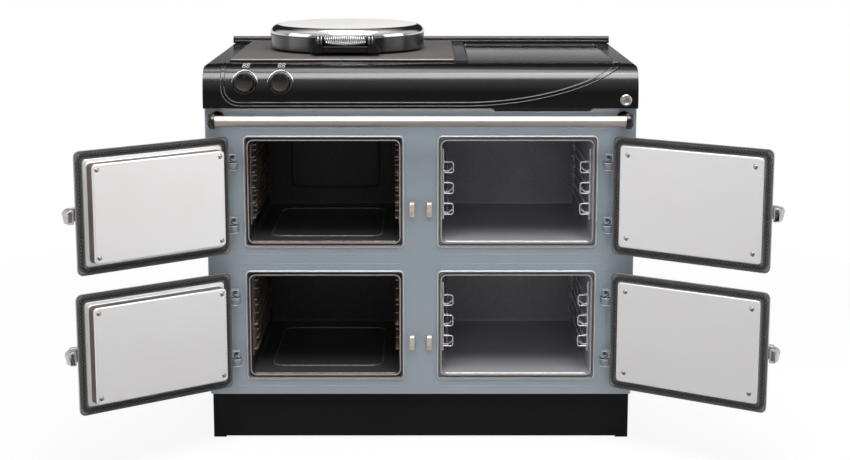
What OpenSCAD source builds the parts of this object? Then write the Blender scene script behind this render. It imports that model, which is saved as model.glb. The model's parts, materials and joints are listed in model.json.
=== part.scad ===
// Cast iron range cooker: four side-hung ovens, a lidded boiling plate and a glass hob.
// X runs across the front, Y runs from front to back, Z is up from the floor.
// The origin is on the floor, under the centre of the body. The doors stand open, as at rest.

/* [Body] */
// Width across the front
body_w = 987; // [940:1:1100]
// Depth from the front plate's face to the back
body_d = 612; // [600:1:680]
// Height of the plinth, up to the body
plinth_h = 113; // [100:1:130]
// Height of the body, from the plinth to the top casting
body_h = 679; // [640:1:720]
// Width of the front plate beside the outer ovens' windows
side_stile = 92.3; // [91:0.1:100]
// Width of the front plate between the windows
mid_stile = 87.6; // [86:0.1:100]
// Height of the front plate below the windows
sill_h = 41.7; // [38:0.1:60]
// Height of the front plate between the windows
mid_rail_h = 65.4; // [50:0.1:75]
// Height of the front plate above the windows
head_h = 70.7; // [70:0.1:80]
// Thickness of the cast front plate
front_t = 8; // [6:0.5:10]
// Thickness of the sheet panels
sheet_t = 2.5; // [2:0.5:4]
// Depth of the front plate's side and bottom returns
return_d = 28; // [20:1:40]
// Set-back of the plinth from the front plate
plinth_inset = 20; // [10:1:40]
// Gap under the plinth's front board
kick_gap = 3; // [2:0.5:10]
// Height of the levelling feet's pads
foot_pad_h = 8; // [6:1:12]
// Radius of the levelling feet's pads
foot_r = 24; // [18:1:28]
// Inset of the feet from the body's sides and ends
foot_inset = 62; // [55:1:90]
// Height of the base frame's rails
rail_h = 40; // [30:1:50]

/* [Ovens] */
// Corner radius of an oven's mouth
mouth_r = 12; // [9:1:16]
// Depth of an oven
oven_d = 490; // [440:1:500]
// Wall of an oven's liner
liner_t = 3; // [2:0.5:4]
// Gap from the liner to the front plate, at the sides
gap_side = 2.2; // [1:0.1:3]
// Gap from the liner to the front plate, above and below
gap_level = 3.8; // [2:0.1:5]
// Width of the rolled rim round each mouth
rim_w = 6; // [5:0.5:8]
// Height of the rim above the front plate
rim_h = 4; // [3.2:0.2:5]
// Width of the liner's flange behind the front plate
flange_w = 14; // [10:1:18]
// Spacing of the long runner ribs in the upper left oven
upper_pitch = 36; // [30:1:48]
// Spacing of the long runner ribs in the lower left oven
lower_pitch = 60; // [48:1:66]
// Reach of the runner ribs in the left ovens
rib_reach = 9; // [6:0.5:12]
// Thickness of a runner rib
rib_t = 3.6; // [3:0.2:5]
// Wire of the rack frames in the right ovens
rack_wire = 5; // [4:0.5:6]
// Reach of the rack frames from the oven's wall
rack_reach = 16; // [14:1:20]
// Spacing of the rack levels
rack_pitch = 49; // [44:1:52]

/* [Doors] */
// Overlap of a closed door on the front plate, at the sides
lap_side = 11.3; // [10.5:0.1:12]
// Overlap of a closed door on the front plate, above and below
lap_level = 10.7; // [10:0.1:12]
// Corner radius of a door
door_r = 13; // [10:1:18]
// Thickness of a door's casting at its edge
door_t = 18; // [16:1:24]
// Rise of a door's domed face
dome_rise = 7; // [4:0.5:9]
// Distance of the hinge axes from the doors' edges
hinge_gap = 17.5; // [17:0.5:20]
// Distance of the hinge axes from the front plate
hinge_out = 22; // [20:0.5:24]
// Distance of the hinges from a door's upper and lower edges
hinge_inset = 63; // [50:1:75]
// Angle that the upper left door stands open
open_ul = 142; // [90:1:150]
// Angle that the lower left door stands open
open_ll = 144; // [90:1:150]
// Angle that the upper right door stands open
open_ur = 147; // [90:1:150]
// Angle that the lower right door stands open
open_lr = 148; // [90:1:150]
// Width of the rope seal
seal_w = 15; // [12:1:18]
// Running gap from a closed door's seal to the rim
seal_gap = 0.4; // [0.3:0.1:1]
// Gap from the oven's wall to a door's inner pan, at the sides
pan_gap_side = 1.5; // [1:0.5:8]
// Gap from the oven's wall to a door's inner pan, above and below
pan_gap_level = 0.5; // [0.5:0.5:6]
// Inset of the raised box from the pan's edge
pan_inset = 8.6; // [8:0.2:14]
// Height of the left doors' raised box
pan_box_h = 27; // [20:1:32]
// Rise of the right doors' bevelled face
pan_rise = 4; // [2:0.5:8]
// Radius of a door's grip
grip_r = 9; // [7:0.5:11]
// Finger room behind a door's grip
grip_room = 29; // [25:1:36]
// Radius of the hinge pins
hinge_pin_r = 5; // [4:0.5:6]
// Radius of the fixed hinge cups
cup_r = 12.5; // [10:0.5:13]
// Height of a hinge cup and of a hinge eye
knuckle_h = 19; // [16:1:22]
// Running clearance on a pin
pin_clear = 0.05; // [0.03:0.01:0.08]

/* [Top] */
// Height of the top casting
fascia_h = 96; // [90:1:105]
// Distance that the fascia's lower edge stands forward
fascia_out = 25; // [20:1:32]
// Depth of the fascia's curve, from its front to the deck
fascia_d = 87; // [80:1:100]
// Squareness of the fascia's curve
fascia_power = 3.5; // [2.4:0.1:4.5]
// Wall of the top casting
cast_t = 8; // [7:0.5:9]
// Radius of the casting's rolled side edges
edge_r = 8; // [5:0.5:10]
// Height of the beading on the fascia
bead_h = 2; // [1.4:0.2:3]
// Width of the beading on the fascia
bead_w = 9; // [7:0.5:12]
// Inset of the plate round the boiling plate from the body's left side
plate_inset = 49.5; // [44:0.5:60]
// Right edge of that plate, from the middle
plate_x1 = 79.5; // [70:0.5:90]
// Distance of that plate's front edge from the front plate
plate_y0 = 83; // [75:1:95]
// Thickness of that plate
plate_t = 7; // [6:1:12]
// Width of the strip between that plate and the glass
strip_w = 32.5; // [28:0.5:40]
// Inset of the glass from the body's right side
glass_inset = 43.5; // [38:0.5:54]
// Distance of the glass from the body's back
glass_back = 67; // [56:1:90]
// Thickness of the glass
glass_t = 4; // [3.5:0.5:5]
// Width of the rail across the back
rear_rail_d = 24; // [20:1:30]
// Height of the rail across the back
rear_rail_h = 17; // [16:1:26]

/* [Lid] */
// Distance of the lid's centre from the body's back
lid_back = 254; // [250:1:262]
// Radius of the lid's base
lid_r = 190; // [184:1:194]
// Gap between the plate and the closed lid
lid_gap = 5; // [3:0.5:8]
// Height of the lid's black band
band_h = 35; // [30:1:40]
// Height of the lid's polished dome
dome_h = 24; // [18:1:30]
// Radius of the lid's flat top
dome_top_r = 166; // [150:1:170]
// Distance from the lid's edge back to its hinge
lid_hinge_out = 17; // [15:1:20]
// Radius of the lid's hinge pin
lid_pin_r = 6; // [5:0.5:7]
// Radius of the boiling plate
hotplate_r = 178; // [160:1:180]
// Length of the spring grip
spring_l = 94; // [80:1:110]
// Number of curls in the spring grip
spring_turns = 16; // [10:1:20]
// Wire of the spring grip
spring_wire = 3.4; // [2.4:0.2:3.8]
// Radius of the spring grip at its middle
spring_r = 12.5; // [11:0.5:14]
// Radius of the spring grip at its ends
spring_end_r = 9.5; // [8:0.5:11]
// Distance of the spring grip in front of the lid's edge
spring_out = 26; // [23:1:32]
// Height of the spring grip above the lid's lower edge
spring_z = 33; // [30:1:38]
// Place of the grip's middle from the lid's middle
spring_dx = 5; // [0:1:8]

/* [Rail and controls] */
// Radius of the handrail
bar_r = 12; // [9:0.5:14]
// Distance of the handrail from the front plate
bar_out = 65; // [60:1:80]
// Depth of the handrail below the top casting
bar_drop = 24; // [22:1:32]
// Inset of the handrail's ends from the body's sides
bar_inset = 22.5; // [18:0.5:40]
// Radius of the handrail's end caps
cap_r = 17.5; // [15:0.5:20]
// Inset of the left control from the body's left side
knob_inset = 95.5; // [88:0.5:104]
// Distance between the controls
knob_pitch = 81; // [74:1:88]
// Depth of the controls below the deck
knob_drop = 40.5; // [38:0.5:44]
// Lean of the controls from the level
knob_lean = 15; // [12:1:20]
// Radius of a control
knob_r = 21; // [18:0.5:24]
// Length of a control
knob_l = 20; // [16:1:24]
// Radius of a control's bezel
bezel_r = 26; // [25.5:0.5:29]
// Radius of a control's spindle
spindle_r = 4; // [3:0.5:5]
// Inset of the plain stud from the body's right side
stud_inset = 28.5; // [24:0.5:40]
// Height of the stud above the casting's lower edge
stud_rise = 19; // [16:1:24]
// Radius of the stud
stud_r = 13; // [10:0.5:14]

/* [Hidden] */
$fn = 48;

// Planes of the body
half_w = body_w / 2;
front_y = -body_d / 2;
back_y = body_d / 2;
fascia_z = plinth_h + body_h;
deck_z = fascia_z + fascia_h;
// Small step that carries a cut through a face
eps = 1;
// Facets of the larger turned pieces
fine = 64;
// Clearance round a fixed piece in its seat
seat_gap = 0.2;
// Inner faces of the side panels
panel_in = half_w - sheet_t;
// Plinth: place of its rear board, and top of its boards
plinth_back = back_y - 12;
plinth_top = plinth_h - 3;
// Thickness of the back panel
back_t = 2;
// Round entry for the supply, low in the back
entry_r = 14;
entry_x = half_w - 90;
entry_z = plinth_h + 60;

// Ovens: window in the front plate, and planes of the liners
window_w = (body_w - 2 * side_stile - mid_stile) / 2;
window_h = (body_h - sill_h - mid_rail_h - head_h) / 2;
window_r = 6;
mouth_w = window_w - 2 * (liner_t + gap_side);
mouth_h = window_h - 2 * (liner_t + gap_level);
oven_x = (mid_stile + window_w) / 2;
lower_z = plinth_h + sill_h + window_h / 2;
upper_z = fascia_z - head_h - window_h / 2;
liner_proud = 1.5;
liner_back = front_y + oven_d + liner_t;
oven_levels = [lower_z, upper_z];

// Doors: sizes, and places in a closed door's own axes, with its hinge axis at the origin
door_w = window_w + 2 * lap_side;
door_h = window_h + 2 * lap_level;
hinge_x = oven_x + door_w / 2 + hinge_gap;
hinge_rise = door_h / 2 - hinge_inset;
pan_w = mouth_w - 2 * pan_gap_side;
pan_h = mouth_h - 2 * pan_gap_level;
door_mid = hinge_x - oven_x;
door_edge = door_mid - door_w / 2;
door_free = door_mid + door_w / 2;
seal_plane = hinge_out - rim_h - seal_gap;
lip_plane = seal_plane - 2.2;
bed_plane = lip_plane - 4;
face_plane = lip_plane - door_t;
boss_plane = face_plane - dome_rise - 1.5;
hinge_y = front_y - hinge_out;
latch_low = -22.5;
latch_high = 9;
latch_gap = 0.6;
grip_foot_t = 6;
// Floor of a hinge cup
cup_floor = 4;

// Fascia: a quarter of a superellipse from its lower edge up to the deck
fascia_y = front_y - fascia_out + fascia_d;
fascia_steps = 18;

// Places on the deck, the fascia and the rail
plate_x0 = plate_inset - half_w;
plate_mid = (plate_x0 + plate_x1) / 2;
glass_x0 = plate_x1 + strip_w;
glass_x1 = half_w - glass_inset;
glass_y0 = front_y + plate_y0 + 2;
glass_y1 = back_y - glass_back;
knob_x0 = knob_inset - half_w;
knob_x1 = knob_x0 + knob_pitch;
knob_z = deck_z - knob_drop;
stud_x = half_w - stud_inset;
stud_z = fascia_z + stud_rise;
bar_z = fascia_z - bar_drop;
bar_half = half_w - bar_inset;

// Lid: heights of its parts, and its hinge
plate_top = deck_z + plate_t;
lid_z = plate_top + lid_gap;
lid_x = plate_mid;
lid_cy = back_y - lid_back;
lid_hinge_y = lid_cy + lid_r + lid_hinge_out;
lid_hinge_z = lid_z + 14;
spring_cx = lid_x + spring_dx;
spring_cy = lid_cy - lid_r - spring_out;
spring_cz = lid_z + spring_z;

function fascia_point(a, off) =
    let (p = 2 / fascia_power)
    [
        fascia_y - (fascia_d + off) * pow(cos(a), p),
        fascia_z + (fascia_h + off) * pow(sin(a), p)
    ];

// Place of the fascia's face at a height
function fascia_at(z) =
    fascia_y - fascia_d * pow(1 - pow((z - fascia_z) / fascia_h, fascia_power), 1 / fascia_power);

module rounded(w, h, r) {
    square([w - 2 * r, h], center = true);
    square([w, h - 2 * r], center = true);
    for (x = [-1, 1], y = [-1, 1])
        translate([x * (w / 2 - r), y * (h / 2 - r)])
            circle(r);
}

// An upright outline in X and Z, made solid from y0 back to y1
module upright(y0, y1) {
    translate([0, y1, 0])
        rotate([90, 0, 0])
            linear_extrude(y1 - y0)
                children();
}

// A side outline in Y and Z, made solid from x0 to x1
module sideways(x0, x1) {
    translate([x0, 0, 0])
        rotate([90, 0, 90])
            linear_extrude(x1 - x0)
                children();
}

module block(x0, x1, y0, y1, z0, z1) {
    translate([x0, y0, z0])
        cube([x1 - x0, y1 - y0, z1 - z0]);
}

// A section swept round a rounded rectangle in X and Y. The section's x points outwards.
module loop_of(w, h, r) {
    for (k = [0:3]) {
        wide = k % 2 == 0 ? w : h;
        tall = k % 2 == 0 ? h : w;
        rotate([0, 0, 90 * k]) {
            translate([r - wide / 2, tall / 2, 0])
                rotate([90, 0, 90])
                    linear_extrude(wide - 2 * r)
                        children();
            translate([wide / 2 - r, tall / 2 - r, 0])
                rotate_extrude(angle = 90)
                    translate([r, 0])
                        children();
        }
    }
}

// ---- Plinth and base ----

// Four boards on edge, with a gap under the front one and a lip along its top
module plinth() {
    board = 2;
    lip = 16;
    y0 = front_y + plinth_inset;
    color([0.05, 0.05, 0.06]) {
        difference() {
            block(-panel_in, panel_in, y0, plinth_back, 1, plinth_top);
            block(board - panel_in, panel_in - board, y0 + board, plinth_back - board, -eps,
                plinth_top + eps);
            block(30 - panel_in, panel_in - 30, y0 - eps, y0 + board + eps, -eps, 1 + kick_gap);
        }
        block(board - panel_in, panel_in - board, y0 + board, y0 + lip, plinth_top - board, plinth_top);
    }
}

// Floor sheet on two long box rails and two cross rails
module base_frame() {
    rail_y = body_d / 2 - foot_inset;
    rail_w = 50;
    wall = 4;
    cross_x = half_w * 0.365;
    cross_w = 40;
    low = plinth_top - rail_h;
    color([0.3, 0.3, 0.32])
        difference() {
            union() {
                block(-panel_in, panel_in, front_y + plinth_inset, plinth_back, plinth_top, plinth_h);
                for (y = [-rail_y, rail_y])
                    block(4 - panel_in, panel_in - 4, y - rail_w / 2, y + rail_w / 2, low, plinth_top);
                for (x = [-cross_x, cross_x])
                    block(x - cross_w / 2, x + cross_w / 2, -rail_y, rail_y, low, plinth_top);
            }
            for (y = [-rail_y, rail_y])
                block(-half_w, half_w, y + wall - rail_w / 2, y - wall + rail_w / 2, low + wall,
                    plinth_top);
        }
}

module levelling_feet() {
    x0 = half_w - foot_inset;
    y0 = body_d / 2 - foot_inset;
    stem_h = plinth_top - rail_h;
    color([0.1, 0.1, 0.1])
        for (x = [-x0, x0], y = [-y0, y0])
            translate([x, y, 0]) {
                cylinder(r = foot_r, h = foot_pad_h - 2);
                translate([0, 0, foot_pad_h - 2])
                    cylinder(r1 = foot_r, r2 = 12, h = 2);
                cylinder(r = 6, h = stem_h);
                translate([0, 0, stem_h - 8])
                    cylinder(r = 11, h = 8, $fn = 6);
            }
}

// ---- Casing ----

// Cast plate with returns at its sides and foot, and a rolled rim round each oven's window
module front_plate() {
    color([0.47, 0.52, 0.56])
        difference() {
            union() {
                translate([0, 0, plinth_h])
                    linear_extrude(fascia_z - plinth_h)
                        front_plan(4, 5);
                block(6 - half_w, half_w - 6, front_y + 1, front_y + return_d, plinth_h, plinth_h + 6);
                for (x = [-oven_x, oven_x], z = oven_levels)
                    translate([x, front_y, z])
                        rotate([90, 0, 0])
                            loop_of(window_w + rim_w, window_h + rim_w, window_r + rim_w / 2)
                                rim_section();
            }
            for (x = [-oven_x, oven_x], z = oven_levels)
                translate([x, 0, z])
                    upright(front_y - eps, front_y + front_t + eps)
                        rounded(window_w, window_h, window_r);
        }
}

// Plan of the plate: outer edges of radius r, returns of thickness t
module front_plan(r, t) {
    difference() {
        union() {
            translate([-half_w + r, front_y])
                square([body_w - 2 * r, return_d]);
            translate([-half_w, front_y + r])
                square([body_w, return_d - r]);
            for (x = [-1, 1])
                translate([x * (half_w - r), front_y + r])
                    circle(r);
        }
        translate([t - half_w, front_y + front_t])
            square([body_w - 2 * t, return_d]);
    }
}

// Half-round rim, standing on the face of the front plate
module rim_section() {
    r = rim_w / 2;
    translate([-r, -0.5])
        square([rim_w, rim_h - r + 0.5]);
    translate([0, rim_h - r])
        intersection() {
            circle(r);
            translate([-r, 0])
                square([rim_w, r]);
        }
}

// Sheet side with folded feet above and below
module side_panel(side) {
    fold = panel_in - 22;
    y0 = front_y + return_d;
    y1 = back_y - back_t;
    color([0.47, 0.52, 0.56])
        mirror([side < 0 ? 1 : 0, 0, 0]) {
            block(panel_in, half_w, y0, y1, plinth_h, fascia_z);
            block(fold, panel_in + eps, y0, y1, plinth_h, plinth_h + sheet_t);
            block(fold, panel_in + eps, y0, y1, fascia_z - sheet_t, fascia_z);
        }
}

// Sheet back, with rows of slots high up and a round entry for the supply low down
module back_panel() {
    slot_w = half_w * 0.142;
    color([0.36, 0.37, 0.38])
        difference() {
            block(-half_w, half_w, back_y - back_t, back_y, plinth_h, fascia_z);
            for (bank = [-1, 0, 1], col = [-1, 0, 1], row = [0:3])
                translate([bank * half_w * 0.61 + col * 1.2 * slot_w, 0, fascia_z - 24 - 12 * row])
                    upright(back_y - back_t - eps, back_y + eps)
                        rounded(slot_w, 5, 2.4);
            translate([entry_x, back_y + eps, entry_z])
                rotate([90, 0, 0])
                    cylinder(r = entry_r, h = back_t + 2 * eps);
        }
}

// ---- Top casting ----

// Side outline of the fascia and deck, grown by off
module fascia_outline(off) {
    polygon(concat(
        [for (i = [0:fascia_steps]) fascia_point(90 * i / fascia_steps, off)],
        [[back_y + off, deck_z + off], [back_y + off, fascia_z]]
    ));
}

// The same section inside the casting, over its foot
module fascia_hollow() {
    foot = fascia_z + cast_t;
    inner_d = fascia_d - cast_t;
    inner_h = deck_z - cast_t - foot;
    p = 2 / fascia_power;
    y0 = front_y + front_t;
    y1 = back_y - 6;
    polygon(concat(
        [[y0, fascia_z - eps], [y0, foot]],
        [for (i = [0:fascia_steps])
            [
                fascia_y - inner_d * pow(cos(90 * i / fascia_steps), p),
                foot + inner_h * pow(sin(90 * i / fascia_steps), p)
            ]],
        [[y1, deck_z - cast_t], [y1, fascia_z - eps]]
    ));
}

// Front outline of the casting, with rolled upper corners
module deck_front() {
    translate([-half_w, fascia_z])
        square([body_w, fascia_h - edge_r]);
    translate([edge_r - half_w, fascia_z])
        square([body_w - 2 * edge_r, fascia_h]);
    for (x = [-1, 1])
        translate([x * (half_w - edge_r), deck_z - edge_r])
            circle(edge_r);
}

// Ledge under the edge of the glass
glass_ledge = 12;

// Line of the beading: down the left, along the foot and up a long sweep to the right
bead_left = 45.5 - half_w;
bead_low = fascia_z + 10;
bead_turn = 37;
sweep = [
    [half_w * 0.2, bead_low], [half_w * 0.49, bead_low], [half_w - 108, bead_low + 36],
    [half_w - 38, deck_z + 5]
];
function bezier(p, t) =
    pow(1 - t, 3) * p[0] + 3 * t * pow(1 - t, 2) * p[1] + 3 * t * t * (1 - t) * p[2] + pow(t, 3) * p[3];
function bead_path() = concat(
    [[bead_left, deck_z + 5]],
    [for (a = [180:15:270]) [bead_left + bead_turn * (1 + cos(a)), bead_low + bead_turn * (1 + sin(a))]],
    [for (i = [0:14]) bezier(sweep, i / 14)]
);
function across(p, i) =
    let (d = p[min(i + 1, len(p) - 1)] - p[max(i - 1, 0)])
    [-d[1], d[0]] / norm(d);

module bead_band(w) {
    p = bead_path();
    n = len(p) - 1;
    polygon(concat(
        [for (i = [0:n]) p[i] + w / 2 * across(p, i)],
        [for (i = [n:-1:0]) p[i] - w / 2 * across(p, i)]
    ));
}

// Controls: depth of the bezel's seat, radius of its sleeve, and length of the spindle behind it
control_seat = 3;
sleeve_r = 10;
spindle_back = 43;

// Places a child on a control's own axis, with its seat at the origin
module at_control(x) {
    translate([x, fascia_at(knob_z) + control_seat, knob_z])
        rotate([90 - knob_lean, 0, 0])
            children();
}

// One casting: fascia, deck and beading, with seats for the plate, the glass, the controls and the stud
module top_casting() {
    plate_hole = hotplate_r + 22;
    tab_x0 = half_w * 0.326;
    tab_x1 = half_w * 0.798;
    color([0.03, 0.03, 0.035])
        difference() {
            union() {
                intersection() {
                    sideways(-half_w - eps, half_w + eps)
                        fascia_outline(0);
                    upright(front_y - 2 * fascia_out, back_y)
                        deck_front();
                }
                intersection() {
                    sideways(-half_w, half_w)
                        difference() {
                            fascia_outline(bead_h);
                            fascia_outline(-2);
                        }
                    upright(front_y - 2 * fascia_out, fascia_y - 4)
                        bead_band(bead_w);
                }
                upright(front_y - 14, front_y)
                    polygon([[tab_x0, fascia_z + eps], [tab_x0 + 9, fascia_z - 8],
                        [tab_x1 - 9, fascia_z - 8], [tab_x1, fascia_z + eps]]);
            }
            sideways(cast_t - half_w, half_w - cast_t)
                fascia_hollow();
            translate([lid_x, lid_cy, deck_z - 2 * cast_t])
                cylinder(r = plate_hole, h = 3 * cast_t, $fn = fine);
            block(glass_x0, glass_x1, glass_y0, glass_y1, deck_z - glass_t, deck_z + eps);
            block(glass_x0 + glass_ledge, glass_x1 - glass_ledge, glass_y0 + glass_ledge,
                glass_y1 - glass_ledge, deck_z - 2 * cast_t, deck_z + eps);
            for (x = [knob_x0, knob_x1])
                at_control(x) {
                    cylinder(r = bezel_r + seat_gap, h = 60);
                    translate([0, 0, -40])
                        cylinder(r = sleeve_r + seat_gap, h = 41);
                }
            // Slot of the heat vent, in the fascia's crown
            translate([plate_mid, 0, 0])
                block(-66, 66, fascia_y - 14, fascia_y - 8, deck_z - 2 * cast_t, deck_z + eps);
            translate([stud_x, front_y - 2 * fascia_out, stud_z])
                rotate([-90, 0, 0])
                    cylinder(r = stud_r + seat_gap,
                        h = 2 * fascia_out + fascia_at(stud_z) - front_y + stud_seat);
        }
}

// Plain stud with a dished face
stud_seat = 2;

module fascia_stud() {
    seat = fascia_at(stud_z) + stud_seat;
    color([0.75, 0.75, 0.75])
        translate([stud_x, seat, stud_z])
            rotate([90, 0, 0])
                rotate_extrude($fn = fine)
                    polygon([[0, 0], [stud_r, 0], [stud_r, 4], [stud_r - 2, 5.5], [stud_r - 4, 5.5],
                        [stud_r - 5, 4.6], [0, 4.6]]);
}

// Rail with two long grooves in its front, across the back of the deck
module rear_rail() {
    color([0.05, 0.05, 0.05])
        sideways(-half_w, half_w)
            difference() {
                translate([back_y - rear_rail_d, deck_z])
                    square([rear_rail_d, rear_rail_h]);
                for (z = [rear_rail_h * 0.3, rear_rail_h * 0.65])
                    translate([back_y - rear_rail_d - eps, deck_z + z])
                        square([4 + eps, 3]);
                translate([back_y - rear_rail_d, deck_z + rear_rail_h])
                    rotate(45)
                        square(3, center = true);
                translate([back_y, deck_z + rear_rail_h])
                    rotate(45)
                        square(3, center = true);
            }
}

// Enamelled plate round the boiling plate, with a seam in its front edge
module hotplate_surround() {
    y0 = front_y + plate_y0;
    y1 = back_y - rear_rail_d - 0.3;
    color([0.44, 0.42, 0.41])
        translate([0, 0, deck_z])
            difference() {
                union() {
                    translate([plate_mid, (y0 + y1) / 2, 0])
                        linear_extrude(plate_t - 2)
                            rounded(plate_x1 - plate_x0, y1 - y0, 6);
                    translate([plate_mid, (y0 + y1) / 2, 0])
                        linear_extrude(plate_t)
                            rounded(plate_x1 - plate_x0 - 4, y1 - y0 - 4, 5);
                }
                translate([lid_x, lid_cy, -eps])
                    cylinder(r = hotplate_r + 1, h = plate_t + 2 * eps, $fn = fine);
                block(plate_mid - 0.8, plate_mid + 0.8, y0 - eps, y0 + 30, -eps, plate_t + eps);
            }
}

// Thick boiling plate with a turned face
module hotplate() {
    low = hotplate_low - deck_z;
    top = plate_t + 2;
    color([0.12, 0.12, 0.13])
        translate([lid_x, lid_cy, deck_z])
            rotate_extrude($fn = fine)
                polygon([[0, low], [hotplate_r - 6, low], [hotplate_r, low + 5], [hotplate_r, top - 2],
                    [hotplate_r - 2, top], [hotplate_r - 10, top], [hotplate_r - 12, top - 1.5],
                    [hotplate_r - 14, top], [0, top]]);
}

module divider_strip() {
    color([0.2, 0.2, 0.21])
        translate([0, 0, deck_z])
            difference() {
                block(plate_x1 + 1, glass_x0 - 3, front_y + plate_y0, back_y - rear_rail_d - 20, 0, 4);
                translate([glass_x0 - 3, front_y, 4])
                    rotate([0, 45, 0])
                        cube([2.4, 2 * body_d, 2.4], center = true);
            }
}

module hob_glass() {
    color([0.05, 0.05, 0.055])
        block(glass_x0 + seat_gap, glass_x1 - seat_gap, glass_y0 + seat_gap, glass_y1 - seat_gap,
            deck_z - glass_t, deck_z);
}

// Slim steel frame round the glass
module hob_trim() {
    w = glass_x1 - glass_x0;
    d = glass_y1 - glass_y0;
    color([0.7, 0.66, 0.6])
        translate([glass_x0 + w / 2, glass_y0 + d / 2, deck_z])
            linear_extrude(1.6)
                difference() {
                    rounded(w + 4, d + 4, 9);
                    rounded(w - 0.6, d - 0.6, 7);
                }
}

// Closed tray under the glass, with its rim and two coil discs
module induction_unit() {
    inset = glass_ledge + 4;
    rim = 10;
    coil_r = (glass_x1 - glass_x0) * 0.28;
    x0 = glass_x0 + inset;
    x1 = glass_x1 - inset;
    y0 = glass_y0 + inset;
    y1 = glass_y1 - inset;
    under = deck_z - cast_t;
    color([0.55, 0.55, 0.56]) {
        block(x0, x1, y0, y1, under - 62, under);
        block(x0 - rim, x1 + rim, y0 - rim, y1 + rim, under - 2, under);
        for (y = [y0 + coil_r + 17, y1 - coil_r - 17])
            translate([(x0 + x1) / 2, y, under - eps])
                cylinder(r = coil_r, h = cast_t - glass_t + eps - seat_gap);
    }
}

// ---- Controls ----

module knob_bezels() {
    color([0.75, 0.75, 0.76])
        for (x = [knob_x0, knob_x1])
            at_control(x)
                rotate_extrude($fn = fine)
                    polygon([[spindle_r + pin_clear, -24], [sleeve_r, -24], [sleeve_r, 0], [bezel_r, 0],
                        [bezel_r, 3.5], [bezel_r - 1.5, 5], [knob_r + 1.2, 5], [knob_r + 0.8, 2],
                        [spindle_r + pin_clear, 2]]);
}

module rotary_switches() {
    color([0.85, 0.84, 0.8])
        for (x = [knob_x0, knob_x1])
            at_control(x)
                difference() {
                    translate([-21, -21, -54])
                        cube([42, 42, 30]);
                    translate([0, 0, -spindle_back - 1])
                        cylinder(r = spindle_r + pin_clear, h = spindle_back);
                }
}

module spindle(x) {
    color([0.6, 0.6, 0.6])
        at_control(x)
            translate([0, 0, -spindle_back])
                cylinder(r = spindle_r, h = spindle_back + knob_l / 2);
}

// Turned knob, dished on its face, with a raised pointer
module knob(x) {
    dish = 1.2;
    color([0.06, 0.06, 0.065])
        at_control(x)
            difference() {
                union() {
                    rotate_extrude($fn = fine)
                        polygon([[0, 2.6], [knob_r, 2.6], [knob_r, 7], [knob_r - 0.8, knob_l - 2],
                            [knob_r - 2.8, knob_l], [knob_r - 4, knob_l - dish], [0, knob_l - dish]]);
                    translate([-1, 6, knob_l - dish - eps])
                        cube([2, knob_r - 9.5, dish + eps]);
                }
                translate([0, 0, 2])
                    cylinder(r = spindle_r + pin_clear, h = knob_l / 2 - 2 + seat_gap);
            }
}

// ---- Handrail ----

// Open tube
module handrail() {
    wall = 1.5;
    color([0.8, 0.79, 0.77])
        translate([-bar_half, front_y - bar_out, bar_z])
            rotate([0, 90, 0])
                rotate_extrude($fn = fine)
                    translate([bar_r - wall, 0])
                        square([wall, 2 * bar_half]);
}

// Cast end: a rose on the front plate, a neck, and a domed cap over the end of the rail
module handrail_brackets() {
    neck_r = 9;
    socket = 10;
    cap_x = bar_half - socket;
    color([0.04, 0.04, 0.04])
        for (s = [-1, 1])
            mirror([s < 0 ? 1 : 0, 0, 0]) {
                translate([cap_x + 3, front_y, bar_z - 2])
                    rotate([90, 0, 0])
                        rotate_extrude()
                            polygon([[0, 0], [cap_r, 0], [cap_r, 4], [neck_r + 3, 8], [neck_r, 14],
                                [neck_r, bar_out - bar_r], [0, bar_out - bar_r]]);
                difference() {
                    translate([cap_x, front_y - bar_out, bar_z])
                        rotate([0, 90, 0])
                            rotate_extrude($fn = fine)
                                polygon([[0, 0], [cap_r - 1, 0], [cap_r, 1], [cap_r, 11],
                                    [cap_r - 2, 15], [cap_r - 7, 18], [0, 19]]);
                    translate([cap_x - eps, front_y - bar_out, bar_z])
                        rotate([0, 90, 0])
                            cylinder(r = bar_r + seat_gap / 2, h = socket + eps, $fn = fine);
                }
            }
}

// ---- Ovens ----

module oven_shape(grow) {
    rounded(mouth_w + 2 * grow, mouth_h + 2 * grow, mouth_r + grow);
}

// Five-walled liner with a rolled front edge and a flange behind the front plate
module oven_liner(x, z, tint) {
    color(tint)
        translate([x, 0, z])
            difference() {
                union() {
                    upright(front_y - liner_proud, liner_back)
                        oven_shape(liner_t);
                    upright(front_y + front_t, front_y + front_t + liner_t)
                        oven_shape(flange_w);
                }
                upright(front_y - liner_proud - eps, liner_back - liner_t)
                    oven_shape(0);
            }
}

// Pressed wall with runner ribs: one long rib in three reaches the front
module runner_wall(pitch, low, high) {
    wall = 1.5;
    end_y = front_y + oven_d - 60;
    rows = floor((high - low) / (pitch / 3));
    difference() {
        block(0, wall, front_y + 40, end_y + 10, low - 14, high + 7);
        for (y = [front_y + 62, end_y - 12])
            translate([-eps, y, low - 7])
                rotate([0, 90, 0])
                    cylinder(r = 2.2, h = wall + 2 * eps);
    }
    for (i = [0:rows]) {
        start = front_y + (i % 3 == 0 ? 48 : 78);
        translate([wall / 2, start, low + i * pitch / 3])
            runner_rib(end_y - start, wall / 2 + rib_reach);
    }
}

module runner_rib(l, reach) {
    rotate([-90, 0, 0])
        linear_extrude(l)
            union() {
                translate([0, -rib_t / 2])
                    square([reach - rib_t / 2, rib_t]);
                translate([reach - rib_t / 2, 0])
                    circle(rib_t / 2);
            }
}

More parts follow.
